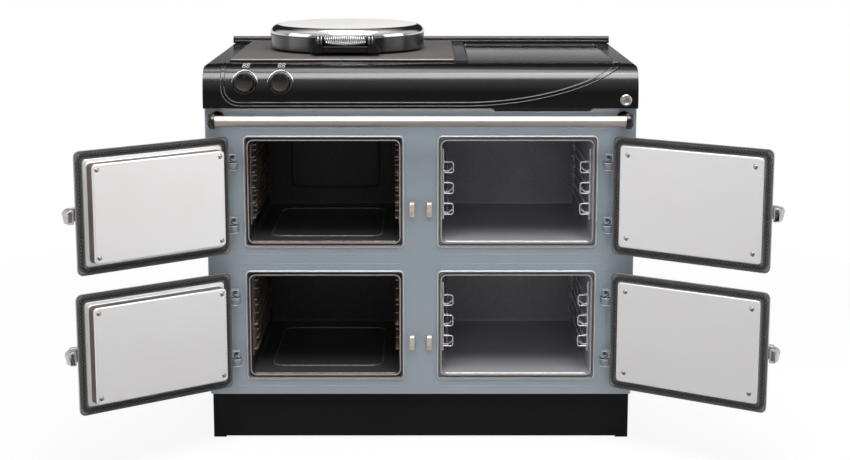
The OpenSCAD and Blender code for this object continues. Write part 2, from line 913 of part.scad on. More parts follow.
module left_oven_runners() {
    color([0.08, 0.08, 0.085])
        for (z = oven_levels, s = [-1, 1])
            translate([-oven_x, 0, z])
                mirror([s > 0 ? 1 : 0, 0, 0])
                    translate([seat_gap - mouth_w / 2, 0, 0])
                        runner_wall(z == upper_z ? upper_pitch : lower_pitch, 48 - mouth_h / 2,
                            mouth_h / 2 - mouth_r - 8);
}

// Wire frame: two posts, and at each level an upper and a lower wire round a shelf's edge
module rack_frame() {
    r = rack_wire / 2;
    y0 = front_y + 36;
    y1 = front_y + oven_d - 50;
    low = -rack_pitch - 22;
    high = rack_pitch + 46;
    link_r = r - 0.3;
    for (y = [y0, y1])
        translate([r, y, low])
            cylinder(r = r, h = high - low, $fn = 24);
    for (i = [-1:1], j = [0, 1])
        translate([0, 0, i * rack_pitch - 8 + 24 * j]) {
            translate([rack_reach - r, y0 - r, 0])
                rotate([-90, 0, 0])
                    cylinder(r = r, h = y1 - y0 + 2 * r, $fn = 24);
            for (y = [y0, y1])
                translate([r, y, 0])
                    rotate([0, 90, 0])
                        cylinder(r = link_r, h = rack_reach - 2 * r, $fn = 24);
        }
}

module right_oven_racks() {
    color([0.75, 0.76, 0.78])
        for (z = oven_levels, s = [-1, 1])
            translate([oven_x, 0, z])
                mirror([s > 0 ? 1 : 0, 0, 0])
                    translate([seat_gap - mouth_w / 2, 0, 0])
                        rack_frame();
}

// Pressed baffle on the upper left oven's back wall, with its two hanging hooks
module oven_baffle() {
    wall_y = liner_back - liner_t;
    sheet = 1.2;
    loop_w = mouth_w * 0.65;
    loop_h = mouth_h * 0.62;
    hook_r = 3;
    color([0.06, 0.06, 0.065])
        translate([-oven_x, 0, upper_z]) {
            upright(wall_y - sheet, wall_y)
                rounded(loop_w + 24, loop_h + 24, 14);
            translate([0, wall_y - sheet, 0])
                rotate([90, 0, 0])
                    loop_of(loop_w, loop_h, 16)
                        intersection() {
                            circle(2 * sheet, $fn = 24);
                            translate([-2.5 * sheet, -sheet / 3])
                                square([5 * sheet, 3 * sheet]);
                        }
            for (x = [11 - loop_w / 2, loop_w / 2 - 11])
                translate([x, wall_y - 1, loop_h / 2 - 13]) {
                    rotate([90, 0, 0])
                        cylinder(r = hook_r, h = 16);
                    translate([0, -15, 0])
                        cylinder(r = hook_r, h = 3 * hook_r);
                }
        }
}

// Heating loops: size and wire of an oven's loop, wire of the boiling plate's ring, and the plate's depth
element_w = mouth_w * 0.69;
element_d = oven_d * 0.69;
element_r = 4;
ring_r = 6;
hotplate_low = deck_z - 23;

module heating_elements() {
    under = mouth_h / 2 + liner_t;
    color([0.3, 0.28, 0.27]) {
        for (x = [-oven_x, oven_x], z = oven_levels)
            translate([x, front_y + oven_d / 2, z - under - element_r - 2 * seat_gap])
                loop_of(element_w, element_d, 30)
                    circle(element_r, $fn = 24);
        translate([lid_x, lid_cy, hotplate_low - ring_r - 2 * seat_gap])
            rotate_extrude($fn = fine)
                translate([hotplate_r * 0.62, 0])
                    circle(ring_r, $fn = 24);
    }
}

// Insulating fill round the four liners, with a raised bed under the boiling plate
module insulation() {
    top = fascia_z - 8;
    side = panel_in - 24;
    bed = hotplate_low - 2 * ring_r - 1;
    pocket_w = element_w / 2 + 10;
    pocket_d = element_d / 2 + 10;
    color([0.8, 0.78, 0.7])
        difference() {
            union() {
                block(-side, side, front_y + front_t, back_y - back_t, plinth_h + 6, top);
                translate([lid_x, lid_cy, top - eps])
                    cylinder(r = lid_r - 8, h = bed - top + eps, $fn = fine);
            }
            for (x = [-oven_x, oven_x], z = oven_levels)
                translate([x, 0, z]) {
                    upright(front_y, liner_back)
                        oven_shape(liner_t);
                    upright(front_y, front_y + front_t + liner_t)
                        oven_shape(flange_w + seat_gap);
                    block(-pocket_w, pocket_w, front_y + oven_d / 2 - pocket_d,
                        front_y + oven_d / 2 + pocket_d, -mouth_h / 2 - liner_t - 2 * element_r - 1, 0);
                }
            // Wiring room behind the supply entry
            block(entry_x - 50, entry_x + 50, back_y - 82, back_y, entry_z - 45, entry_z + 45);
        }
}

// Bent strip that the door latches close over
module keepers() {
    w = 11.5;
    keeper_x = oven_x - door_w / 2 - 12.5;
    top = latch_low - latch_gap;
    color([0.7, 0.66, 0.62])
        for (x = [-keeper_x, keeper_x], z = oven_levels)
            translate([x, front_y, z + top])
                sideways(-w / 2, w / 2)
                    difference() {
                        polygon([[0, 0], [-11, 0], [-15, -4], [-15, -22], [-8, -35], [0, -35]]);
                        polygon([[eps, -3], [-10, -3], [-12, -5], [-12, -21.5], [-6, -32], [eps, -32]]);
                    }
}

// ---- Door hinges ----

// Places a child on each fixed hinge's axis
module at_hinges() {
    for (s = [-1, 1], z = oven_levels, j = [-1, 1])
        translate([s * hinge_x, hinge_y, z + j * hinge_rise])
            children();
}

// Fixed lower cup with a rounded foot, and its arm to the front plate
module hinge_brackets() {
    bore = hinge_pin_r + pin_clear;
    color([0.47, 0.52, 0.56])
        at_hinges()
            difference() {
                union() {
                    rotate_extrude()
                        polygon([[0, -knuckle_h], [cup_r - 5, -knuckle_h], [cup_r - 1.5, 3 - knuckle_h],
                            [cup_r, 7 - knuckle_h], [cup_r, -1], [cup_r - 1, 0], [0, 0]]);
                    block(-9, 9, 0, hinge_out, 3 - knuckle_h, -1.5);
                    block(-cup_r, cup_r, hinge_out - 4, hinge_out, -knuckle_h, 0);
                }
                translate([0, 0, cup_floor - knuckle_h])
                    cylinder(r = bore, h = knuckle_h);
            }
}

module hinge_pins() {
    nose = 1.5;
    shank = 2 * knuckle_h - cup_floor - 2 * nose;
    color([0.6, 0.6, 0.6])
        at_hinges()
            translate([0, 0, cup_floor + seat_gap - knuckle_h]) {
                cylinder(r = hinge_pin_r, h = shank);
                translate([0, 0, shank])
                    cylinder(r1 = hinge_pin_r, r2 = hinge_pin_r - nose, h = nose);
            }
}

// ---- Doors, drawn closed with the hinge axis at the origin ----

// Hangs a closed left-hand door on its hinges and swings it open
module hang(side, z, angle) {
    translate([side * hinge_x, hinge_y, z])
        rotate([0, 0, side * angle])
            mirror([side > 0 ? 1 : 0, 0, 0])
                children();
}

// Door casting: depth of the square lip round its inner face, and how far its edge falls away in front
lip_d = 5;
edge_mid = 5;
edge_fall = 13;

// Solid of the door: its edge rolls away in two slopes from the lip to the face
module door_solid() {
    lip_y = lip_plane - lip_d;
    mid_y = (lip_y + face_plane) / 2 - 1;
    hull() {
        upright(lip_y, lip_plane)
            rounded(door_w, door_h, door_r);
        upright(mid_y, lip_y)
            rounded(door_w - 2 * edge_mid, door_h - 2 * edge_mid, door_r - 2);
        upright(face_plane - dome_rise - eps, mid_y)
            rounded(door_w - 2 * edge_fall, door_h - 2 * edge_fall, door_r - 4);
    }
}

// Cast door with a domed face, a bed for the rope, a boss for the handle and two hinge eyes
module door_casting() {
    eye_r = cup_r - 2.5;
    color([0.47, 0.52, 0.56])
        difference() {
            union() {
                translate([door_mid, 0, 0])
                    intersection() {
                        door_solid();
                        door_dome();
                    }
                block(door_free - 134, door_free - edge_fall, boss_plane, face_plane + 4,
                    latch_low - 4, latch_high + 4);
                for (j = [-1, 1])
                    translate([0, 0, j * hinge_rise])
                        hinge_eye(eye_r);
            }
            translate([door_mid, 0, 0])
                upright(bed_plane, lip_plane + eps)
                    rounded(door_w - 6, door_h - 6, door_r - 3);
            for (j = [-1, 1])
                translate([0, 0, j * hinge_rise])
                    cylinder(r = hinge_pin_r + pin_clear, h = knuckle_h + eps);
        }
}

// Shallow cap of a large sphere, turned about the door's middle
module door_dome() {
    half = norm([door_w, door_h]) / 2 + eps;
    dome = (half * half + dome_rise * dome_rise) / (2 * dome_rise);
    translate([0, lip_plane + eps, 0])
        rotate([90, 0, 0])
            rotate_extrude($fn = 96)
                intersection() {
                    square([half, door_t + dome_rise + 2 * eps]);
                    translate([0, door_t + dome_rise + eps - dome])
                        circle(dome, $fn = 720);
                }
}

module hinge_eye(r) {
    translate([0, 0, 0.5])
        cylinder(r = r, h = knuckle_h - 1);
    block(0, door_edge + edge_fall + 3, -r + 1, 4, 1.5, knuckle_h - 2);
}

// Braided rope, a half-round loop bedded in the door
module door_seal() {
    r = seal_w / 2;
    crown = seal_plane - bed_plane;
    color([0.12, 0.12, 0.12])
        translate([door_mid, bed_plane, 0])
            rotate([-90, 0, 0])
                loop_of(door_w - 6 - seal_w, door_h - 6 - seal_w, door_r - 3 - r + 8)
                    rope_section(r, crown);
}

module rope_section(r, crown) {
    translate([-r, 0])
        square([2 * r, crown - 2.4]);
    intersection() {
        translate([-r, 0])
            square([2 * r, crown]);
        translate([0, crown - r * 1.6])
            circle(r * 1.6);
    }
}

// Inner pan: a flange within the rope, and a face that stands rise above it, bevelled along its edges
pan_slack = 0.5;

module door_liner(rise, inset) {
    flange_y = bed_plane + 5;
    pan_r = door_r - 4;
    face_w = pan_w - 2 * inset;
    face_h = pan_h - 2 * inset;
    color([0.86, 0.86, 0.87])
        translate([door_mid, 0, 0]) {
            upright(bed_plane, flange_y)
                rounded(pan_w - 2 * pan_slack, pan_h - 2 * pan_slack, pan_r);
            difference() {
                upright(flange_y - eps, flange_y + rise)
                    rounded(face_w, face_h, pan_r);
                pan_bevel(face_w, face_h, flange_y + rise);
            }
        }
}

// Bevel cut along the four edges of a plate whose face is at y
module pan_bevel(w, h, y) {
    cut = 3.4;
    for (s = [-1, 1]) {
        translate([s * w / 2, y, 0])
            rotate([0, 0, 45])
                cube([cut, cut, h + 2], center = true);
        translate([0, y, s * h / 2])
            rotate([45, 0, 0])
                cube([w + 2, cut, cut], center = true);
    }
}

// Latch, foot and grip in one casting: the latch closes just over the keeper
module door_latch() {
    foot_y = boss_plane - grip_foot_t;
    grip_y = foot_y - grip_room - grip_r;
    mid_z = (latch_low + latch_high) / 2;
    grip_l = 118;
    head_y = bed_plane - 5;
    reach = door_free + 18;
    color([0.62, 0.62, 0.64]) {
        difference() {
            union() {
                block(door_free - 130, reach - 6, foot_y, boss_plane, latch_low + 3, latch_high - 1);
                upright(foot_y, head_y)
                    polygon([[door_free + 0.4, latch_low], [reach - 5, latch_low],
                        [reach, latch_high - 9], [reach - 2, latch_high - 4], [reach - 8, latch_high],
                        [door_free + 0.4, latch_high]]);
            }
            block(door_free + 4, reach - 5, head_y - 13, head_y + eps, latch_low + 4, latch_high - 5);
        }
        for (x = [door_free - 114, door_free - 26])
            translate([x, foot_y + eps, mid_z])
                rotate([90, 0, 0])
                    cylinder(r1 = 8, r2 = 6, h = grip_room + 3 + eps);
        translate([door_free - 10 - grip_l, grip_y, mid_z])
            rotate([0, 90, 0])
                rotate_extrude($fn = fine)
                    polygon([[0, 0], [grip_r - 3, 0], [grip_r, 3], [grip_r, grip_l - 3],
                        [grip_r - 3, grip_l], [0, grip_l]]);
    }
}

// ---- Lid ----

// Lid hinge: half length of its pin, half width of its post, and radius of its eyes
lid_pin_half = 40;
post_half = 14;
lid_eye_r = 10;

// Post with a cross pin, behind the lid
module lid_hinge_bracket() {
    y0 = lid_hinge_y - lid_eye_r;
    y1 = lid_hinge_y + lid_eye_r;
    color([0.1, 0.1, 0.1])
        translate([lid_x, 0, 0]) {
            difference() {
                union() {
                    block(-post_half, post_half, y0, y1, plate_top, lid_hinge_z);
                    translate([-post_half, lid_hinge_y, lid_hinge_z])
                        rotate([0, 90, 0])
                            cylinder(r = lid_eye_r, h = 2 * post_half);
                }
                translate([-post_half - eps, lid_hinge_y, lid_hinge_z])
                    rotate([0, 90, 0])
                        cylinder(r = lid_pin_r, h = 2 * (post_half + eps));
            }
            block(-lid_pin_half, lid_pin_half, y0, y1, plate_top, plate_top + 3);
            translate([-lid_pin_half, lid_hinge_y, lid_hinge_z])
                rotate([0, 90, 0])
                    cylinder(r = lid_pin_r, h = 2 * lid_pin_half);
        }
}

// Two arms that carry the lid on the cross pin
module lid_hinge_arm() {
    x0 = post_half + 1;
    x1 = lid_pin_half - 3;
    color([0.1, 0.1, 0.1])
        translate([lid_x, 0, 0])
            for (s = [-1, 1])
                mirror([s < 0 ? 1 : 0, 0, 0])
                    difference() {
                        union() {
                            translate([x0, lid_hinge_y, lid_hinge_z])
                                rotate([0, 90, 0])
                                    cylinder(r = lid_eye_r, h = x1 - x0);
                            block(x0, x1, lid_cy + lid_r - 6, lid_hinge_y, lid_hinge_z - 8, lid_hinge_z + 8);
                        }
                        translate([x0 - eps, lid_hinge_y, lid_hinge_z])
                            rotate([0, 90, 0])
                                cylinder(r = lid_pin_r + pin_clear, h = x1 - x0 + 2 * eps);
                        translate([0, lid_cy, 0])
                            cylinder(r = lid_r + seat_gap / 2, h = 2 * deck_z, $fn = 96);
                    }
}

// Lid: width of its band's foot, and reach of the dome's lip over the band
band_w = 16;
lid_lip = 0.6;
handle_seat_r = lid_r + lid_lip + seat_gap;

module at_lid() {
    translate([lid_x, lid_cy, lid_z])
        children();
}

module lid_band() {
    color([0.04, 0.04, 0.045])
        at_lid()
            rotate_extrude($fn = 96)
                polygon([[lid_r - band_w, 0], [lid_r - 1.5, 0], [lid_r, 1.5], [lid_r, band_h - 1.5],
                    [lid_r - 1, band_h], [lid_r - band_w, band_h]]);
}

// Spun dome: a rolled lip, a rounded shoulder and a nearly flat top
module lid_dome() {
    lip = lid_r + lid_lip;
    run = lip - dome_top_r;
    rise = dome_h - 4;
    shoulder = [for (a = [0:9:90]) [dome_top_r + run * cos(a), band_h + 2 + rise * sin(a)]];
    color([0.85, 0.85, 0.85])
        at_lid()
            rotate_extrude($fn = 96)
                polygon(concat([[0, band_h], [lid_r, band_h], [lip, band_h + lid_lip]], shoulder,
                    [[dome_top_r * 0.6, band_h + dome_h - 0.6], [0, band_h + dome_h]]));
}

// Polished inner face of the lid
module lid_lining() {
    edge = lid_r - band_w - seat_gap;
    color([0.8, 0.8, 0.8])
        at_lid()
            rotate_extrude($fn = 96)
                polygon([[0, 1], [edge - 14, 1], [edge - 6, 0], [edge, 0], [edge, band_h], [0, band_h]]);
}

// Middle line of the spring grip: a barrel of curls whose ends run straight into the brackets
rings_per_curl = 8;
curl_rings = spring_turns * rings_per_curl;
tube_sides = 6;
bow = 3;
spring_tail = 1.6 * spring_wire;
function spring_mid(i) =
    let (t = i / curl_rings)
    let (r = spring_end_r + (spring_r - spring_end_r) * sin(180 * t) - spring_wire / 2)
    let (a = 360 * i / rings_per_curl)
    [(t - 0.5) * spring_l, -r * sin(a) - bow * sin(180 * t), r * cos(a)];
function spring_line() = concat(
    [spring_mid(0) - [spring_tail, 0, 0], spring_mid(0) - [spring_tail - spring_wire, 0, 0]],
    [for (i = [1:curl_rings - 1]) spring_mid(i)],
    [
        spring_mid(curl_rings) + [spring_tail - spring_wire, 0, 0],
        spring_mid(curl_rings) + [spring_tail, 0, 0]
    ]
);

// Least distance between the middle lines of neighbouring curls, less the wire
function spring_gap() =
    min([for (i = [0:curl_rings], k = [6:10]) if (i + k <= curl_rings)
        norm(spring_mid(i + k) - spring_mid(i))]) - spring_wire;

function unit(v) = v / norm(v);

module tube(line, r, sides) {
    n = len(line);
    dirs = [for (i = [0:n - 1]) unit(line[min(i + 1, n - 1)] - line[max(i - 1, 0)])];
    rings = [for (i = [0:n - 1])
        let (side = unit(cross(dirs[i], abs(dirs[i][0]) > 0.97 ? [0, 0, 1] : [1, 0, 0])))
        let (up = cross(side, dirs[i]))
        [for (s = [0:sides - 1])
            line[i] + r * (cos(360 * s / sides) * side + sin(360 * s / sides) * up)]];
    polyhedron(
        points = [for (ring = rings, p = ring) p],
        faces = concat(
            [for (i = [0:n - 2], s = [0:sides - 1], k = [0, 1])
                let (a = i * sides + s)
                let (b = i * sides + (s + 1) % sides)
                k == 0 ? [a, b, b + sides] : [a, b + sides, a + sides]],
            [for (s = [1:sides - 2]) [0, s + 1, s]],
            [for (s = [1:sides - 2]) [(n - 1) * sides, (n - 1) * sides + s, (n - 1) * sides + s + 1]]
        )
    );
}

module handle_spring() {
    echo(spring_least_gap = spring_gap());
    color([0.85, 0.85, 0.86])
        translate([spring_cx, spring_cy, spring_cz])
            tube(spring_line(), spring_wire / 2, tube_sides);
}

// Moulded ears that hold the ends of the spring, standing on the lid's band
module handle_brackets() {
    ear_x = spring_l / 2 + spring_tail + seat_gap;
    color([0.04, 0.04, 0.04])
        difference() {
            for (s = [-1, 1])
                translate([spring_cx, spring_cy, spring_cz])
                    mirror([s < 0 ? 1 : 0, 0, 0]) {
                        translate([ear_x, 0, 0])
                            rotate([0, 90, 0])
                                rotate_extrude()
                                    polygon([[0, 0], [spring_end_r, 0], [spring_end_r + 1.5, 2],
                                        [spring_end_r + 1.5, 5], [spring_end_r, 7],
                                        [spring_end_r + 1, 9], [spring_end_r + 1, 13],
                                        [spring_end_r - 2, 16], [0, 17]]);
                        block(ear_x + 4, ear_x + 14, 0, 44, -spring_end_r, 3);
                        upright(-4, 48)
                            polygon([[ear_x + 1, 2], [ear_x + 12, 2], [ear_x + 28, 6 - spring_z],
                                [ear_x + 28, 3 - spring_z], [ear_x + 1, 3 - spring_z]]);
                    }
            translate([lid_x, lid_cy, 0])
                cylinder(r = handle_seat_r, h = 2 * deck_z, $fn = 96);
        }
}

// Curved shield under the grip, from ear to ear
module handle_guard() {
    w = spring_l / 2 + spring_tail - seat_gap;
    color([0.05, 0.05, 0.05])
        translate([spring_cx, spring_cy, lid_z])
            difference() {
                union() {
                    block(-w, w, -2, 40, 15, 17.5);
                    block(-w, w, -2, 1, 4, 17.5);
                }
                translate([-spring_dx, lid_cy - spring_cy, 0])
                    cylinder(r = handle_seat_r, h = 2 * deck_z, $fn = 96);
            }
}

plinth();
base_frame();
levelling_feet();
front_plate();
side_panel(-1);  // left_side_panel
side_panel(1);  // right_side_panel
back_panel();
top_casting();
rear_rail();
hotplate_surround();
hotplate();
divider_strip();
hob_glass();
hob_trim();
induction_unit();
fascia_stud();
knob_bezels();
rotary_switches();
handrail();
handrail_brackets();
oven_liner(-oven_x, upper_z, [0.07, 0.07, 0.07]);  // upper_left_oven
oven_liner(oven_x, upper_z, [0.3, 0.3, 0.32]);  // upper_right_oven
oven_liner(-oven_x, lower_z, [0.07, 0.07, 0.07]);  // lower_left_oven
oven_liner(oven_x, lower_z, [0.3, 0.3, 0.32]);  // lower_right_oven
left_oven_runners();
right_oven_racks();
oven_baffle();
heating_elements();
insulation();
keepers();
hinge_brackets();
hinge_pins();
lid_hinge_bracket();
lid_dome();
lid_band();
lid_lining();
lid_hinge_arm();
handle_brackets();
handle_spring();
handle_guard();
knob(knob_x0);  // left_knob
spindle(knob_x0);  // left_spindle
knob(knob_x1);  // right_knob
spindle(knob_x1);  // right_spindle
hang(-1, upper_z, open_ul) door_casting();  // upper_left_door
hang(-1, upper_z, open_ul) door_seal();  // upper_left_door_seal
hang(-1, upper_z, open_ul) door_liner(pan_box_h, pan_inset);  // upper_left_door_liner
hang(-1, upper_z, open_ul) door_latch();  // upper_left_door_latch
hang(1, upper_z, open_ur) door_casting();  // upper_right_door
hang(1, upper_z, open_ur) door_seal();  // upper_right_door_seal
hang(1, upper_z, open_ur) door_liner(pan_rise, pan_slack);  // upper_right_door_liner
hang(1, upper_z, open_ur) door_latch();  // upper_right_door_latch
hang(-1, lower_z, open_ll) door_casting();  // lower_left_door
hang(-1, lower_z, open_ll) door_seal();  // lower_left_door_seal
hang(-1, lower_z, open_ll) door_liner(pan_box_h, pan_inset);  // lower_left_door_liner
hang(-1, lower_z, open_ll) door_latch();  // lower_left_door_latch
hang(1, lower_z, open_lr) door_casting();  // lower_right_door
hang(1, lower_z, open_lr) door_seal();  // lower_right_door_seal
hang(1, lower_z, open_lr) door_liner(pan_rise, pan_slack);  // lower_right_door_liner
hang(1, lower_z, open_lr) door_latch();  // lower_right_door_latch
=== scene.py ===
"""Looks of the cast iron range cooker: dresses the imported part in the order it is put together."""

import json
import math

import bmesh
import bpy
from mathutils import Matrix, Vector

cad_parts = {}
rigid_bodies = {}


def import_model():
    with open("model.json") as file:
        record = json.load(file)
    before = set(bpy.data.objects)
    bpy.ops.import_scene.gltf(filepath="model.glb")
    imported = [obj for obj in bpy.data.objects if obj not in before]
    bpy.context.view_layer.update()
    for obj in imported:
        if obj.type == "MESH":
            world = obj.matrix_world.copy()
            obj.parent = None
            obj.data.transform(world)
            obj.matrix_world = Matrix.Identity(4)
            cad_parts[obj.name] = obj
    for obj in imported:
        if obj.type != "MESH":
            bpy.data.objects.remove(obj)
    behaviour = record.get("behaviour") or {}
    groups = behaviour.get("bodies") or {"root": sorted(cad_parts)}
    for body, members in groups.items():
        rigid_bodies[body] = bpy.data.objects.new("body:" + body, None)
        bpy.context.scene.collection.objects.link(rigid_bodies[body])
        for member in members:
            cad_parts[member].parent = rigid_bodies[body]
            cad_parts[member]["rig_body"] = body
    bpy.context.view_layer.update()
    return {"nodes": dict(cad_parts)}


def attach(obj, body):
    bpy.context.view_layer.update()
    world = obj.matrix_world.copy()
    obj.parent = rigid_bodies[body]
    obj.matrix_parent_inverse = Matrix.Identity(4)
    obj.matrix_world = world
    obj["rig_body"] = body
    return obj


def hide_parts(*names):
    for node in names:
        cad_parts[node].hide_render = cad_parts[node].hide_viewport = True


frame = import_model()

# ---- Camera ----
# Stands in front of the open cooker, a little above its hob, and looks slightly down,
# so the deck is seen at a low angle and the open doors spread to both sides.

show = bpy.context.scene.collection.objects.link
camera = bpy.data.objects.new("Camera", bpy.data.cameras.new("Camera"))
camera.data.lens = 68.505
camera.data.sensor_width = 36
camera.data.shift_y = -0.05
camera.location = (0.0101, -3.9697, 1.2516)
camera.rotation_euler = (math.radians(80.01), 0, 0)
show(camera)
bpy.context.scene.camera = camera

# ---- Plinth, base frame and feet ----
# The cooker stands on a welded sheet base frame with four screw feet.
# A pressed black plinth, powder coated with a fine grain, hides both.


def tone(red, green, blue):
    """The colour of these sRGB values from 0 to 255, as linear light."""
    parts = (red / 255, green / 255, blue / 255)
    light = [v / 12.92 if v <= 0.04045 else ((v + 0.055) / 1.055) ** 2.4 for v in parts]
    return (*light, 1)


def join(tree, socket, value):
    """Links a wire or a socket, or sets a plain value."""
    value = getattr(value, "socket", value)
    if isinstance(value, bpy.types.NodeSocket):
        tree.links.new(value, socket)
    else:
        socket.default_value = value


def add_node(tree, kind, settings, values, out):
    """A new node: its settings first, then its sockets by number or name; returns one output."""
    made = tree.nodes.new(kind)
    for key, value in (settings or {}).items():
        setattr(made, key, value)
    for key, value in values.items() if isinstance(values, dict) else enumerate(values):
        join(tree, made.inputs[key], value)
    return made.outputs[out]


class Wire:
    """A socket in a finish; arithmetic on it adds the Math nodes."""

    def __init__(self, finish, socket):
        self.finish = finish
        self.socket = socket

    def math(self, operation, *values):
        return self.finish.node("ShaderNodeMath", {"operation": operation}, values)

    def __add__(self, other):
        return self.math("ADD", self, other)

    __radd__ = __add__

    def __sub__(self, other):
        return self.math("SUBTRACT", self, other)

    def __rsub__(self, other):
        return self.math("SUBTRACT", other, self)

    def __mul__(self, other):
        return self.math("MULTIPLY", self, other)

    __rmul__ = __mul__

    def __pow__(self, other):
        return self.math("POWER", self, other)

    def __gt__(self, other):
        return self.math("GREATER_THAN", self, other)

    def __lt__(self, other):
        return self.math("LESS_THAN", self, other)

    def __abs__(self):
        return self.math("ABSOLUTE", self)


class Finish:
    """A surface finish: one Principled shader and the nodes that feed it."""

    def __init__(self, name, **sockets):
        self.material = bpy.data.materials.new(name)
        self.material.use_nodes = True
        self.tree = self.material.node_tree
        self.shader = self.tree.nodes["Principled BSDF"]
        self.place = self.node("ShaderNodeTexCoord", out="Object")
        self.set(**sockets)

    def set(self, **sockets):
        for key, value in sockets.items():
            join(self.tree, self.shader.inputs[key.replace("_", " ")], value)

    def node(self, kind, settings=None, values=(), out=0):
        return Wire(self, add_node(self.tree, kind, settings, values, out))

    def stretched(self, x, y, z):
        """Object coordinates, scaled along each axis."""
        return self.node("ShaderNodeMapping", {}, {"Vector": self.place, "Scale": (x, y, z)})

    def noise(self, scale, detail=2, rough=0.5, at=None):
        values = {"Vector": at or self.place, "Scale": scale, "Detail": detail, "Roughness": rough}
        return self.node("ShaderNodeTexNoise", {}, values)

    def between(self, mask, low, high):
        """A number that runs from low to high with the mask."""
        return mask * (high - low) + low

    def mix(self, mask, under, over):
        """Two colours, laid one over the other by the mask."""
        values = {0: mask, 6: under, 7: over}
        return self.node("ShaderNodeMix", {"data_type": "RGBA"}, values, 2)

    def relief(self, height, depth, strength=1.0, under=None):
        """Bump of this depth in metres."""
        values = {"Height": height, "Distance": depth, "Strength": strength}
        if under:
            values["Normal"] = under
        return self.node("ShaderNodeBump", {}, values)

    def range(self, value, low, high):
        """0 at low, 1 at high, and held beyond them."""
        return self.node("ShaderNodeMapRange", {}, {0: value, 1: low, 2: high})

    def axes(self):
        """Object coordinates as three numbers."""
        made = self.node("ShaderNodeSeparateXYZ", {}, {"Vector": self.place})
        return [Wire(self, socket) for socket in made.socket.node.outputs]


def two_tone(name, under, over, *noise, stretch=(), rough=(), **sockets):
    """A finish whose colour, and if asked its roughness, drifts between two ends with one noise."""
    made = Finish(name, **sockets)
    made.drift = made.noise(*noise, at=made.stretched(*stretch) if stretch else None)
    made.set(Base_Color=made.mix(made.drift, tone(*under), tone(*over)))
    if rough:
        made.set(Roughness=made.between(made.drift, *rough))
    return made


def rounded(node, finish, edge=0.0, angle=35, sides=2, cuts=()):
    """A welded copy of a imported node, with softened edges, in that node's place.

    Its flat faces are merged; one with openings is first cut through them, at each (axis, place).
    """
    packed = frame["nodes"][node]
    shape = bmesh.new()
    shape.from_mesh(packed.data)
    bmesh.ops.remove_doubles(shape, verts=shape.verts, dist=2e-6)
    for axis, at in cuts:
        normal = [int(i == axis) for i in range(3)]
        plane = [at * part for part in normal]
        whole = shape.verts[:] + shape.edges[:] + shape.faces[:]
        made = bmesh.ops.bisect_plane(shape, geom=whole, dist=1e-6, plane_co=plane, plane_no=normal)
        for line in made["geom_cut"]:
            if isinstance(line, bmesh.types.BMEdge):
                line.seam = True
    parts = {"verts": shape.verts, "edges": shape.edges, "delimit": {"SEAM"}}
    bmesh.ops.dissolve_limit(shape, angle_limit=math.radians(0.5), **parts)
    mesh = bpy.data.meshes.new(node + "_cast")
    shape.to_mesh(mesh)
    shape.free()
    mesh.shade_smooth()
    mesh.set_sharp_from_angle(angle=math.radians(angle))
    mesh.materials.append(finish.material)
    piece = bpy.data.objects.new(node + "_cast", mesh)
    show(piece)
    if edge:
        bevel = piece.modifiers.new("Softened edges", "BEVEL")
        bevel.width = edge
        bevel.segments = sides
        bevel.limit_method = "ANGLE"
        bevel.angle_limit = math.radians(angle)
        bevel.use_clamp_overlap = False
        bevel.harden_normals = True
    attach(piece, packed["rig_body"])
    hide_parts(node)
    return piece


def coat(node, finish):
    """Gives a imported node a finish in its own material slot."""
    frame["nodes"][node].material_slots[0].material = finish.material


powder = two_tone("Plinth powder coat", (12, 12, 15), (18, 18, 21), 3, 3, Specular_IOR_Level=0.25)
grain = powder.noise(900, 2)
powder.set(Roughness=powder.between(grain, 0.4, 0.54), Normal=powder.relief(grain, 0.00015))
rounded("plinth", powder, 0.0008)

galvanised = Finish("Galvanised sheet", Metallic=1.0)
values = {"Vector": galvanised.place, "Scale": 90}
spangle = galvanised.node("ShaderNodeTexVoronoi", {}, values, "Color")
flake = galvanised.node("ShaderNodeRGBToBW", {}, {"Color": spangle})
galvanised.set(
    Base_Color=galvanised.mix(flake, tone(132, 135, 138), tone(166, 169, 171)),
    Roughness=galvanised.between(flake, 0.34, 0.5),
)
rounded("base_frame", galvanised, 0.0006)
rounded("levelling_feet", powder)

# ---- Casing ----
# A cast front plate and two folded side sheets, all in the same grey-blue vitreous enamel, fired
# glossy. The rims round the ovens carry painted shade, in brown, at their foot and a painted
# highlight, pale and partly metallic, on their crown.
# The back is a plain galvanised sheet, screwed on.

oven_x = 0.2225
oven_levels = (0.280, 0.596)
oven_centres = [(x, z) for x in (-oven_x, oven_x) for z in oven_levels]
middle_z = sum(oven_levels) / 2
half_pitch = oven_levels[1] - middle_z
mouth_half_x, mouth_half_z, mouth_corner = 0.1787, 0.1253, 0.006
enamel_tones = tone(127, 138, 145), tone(142, 152, 158)


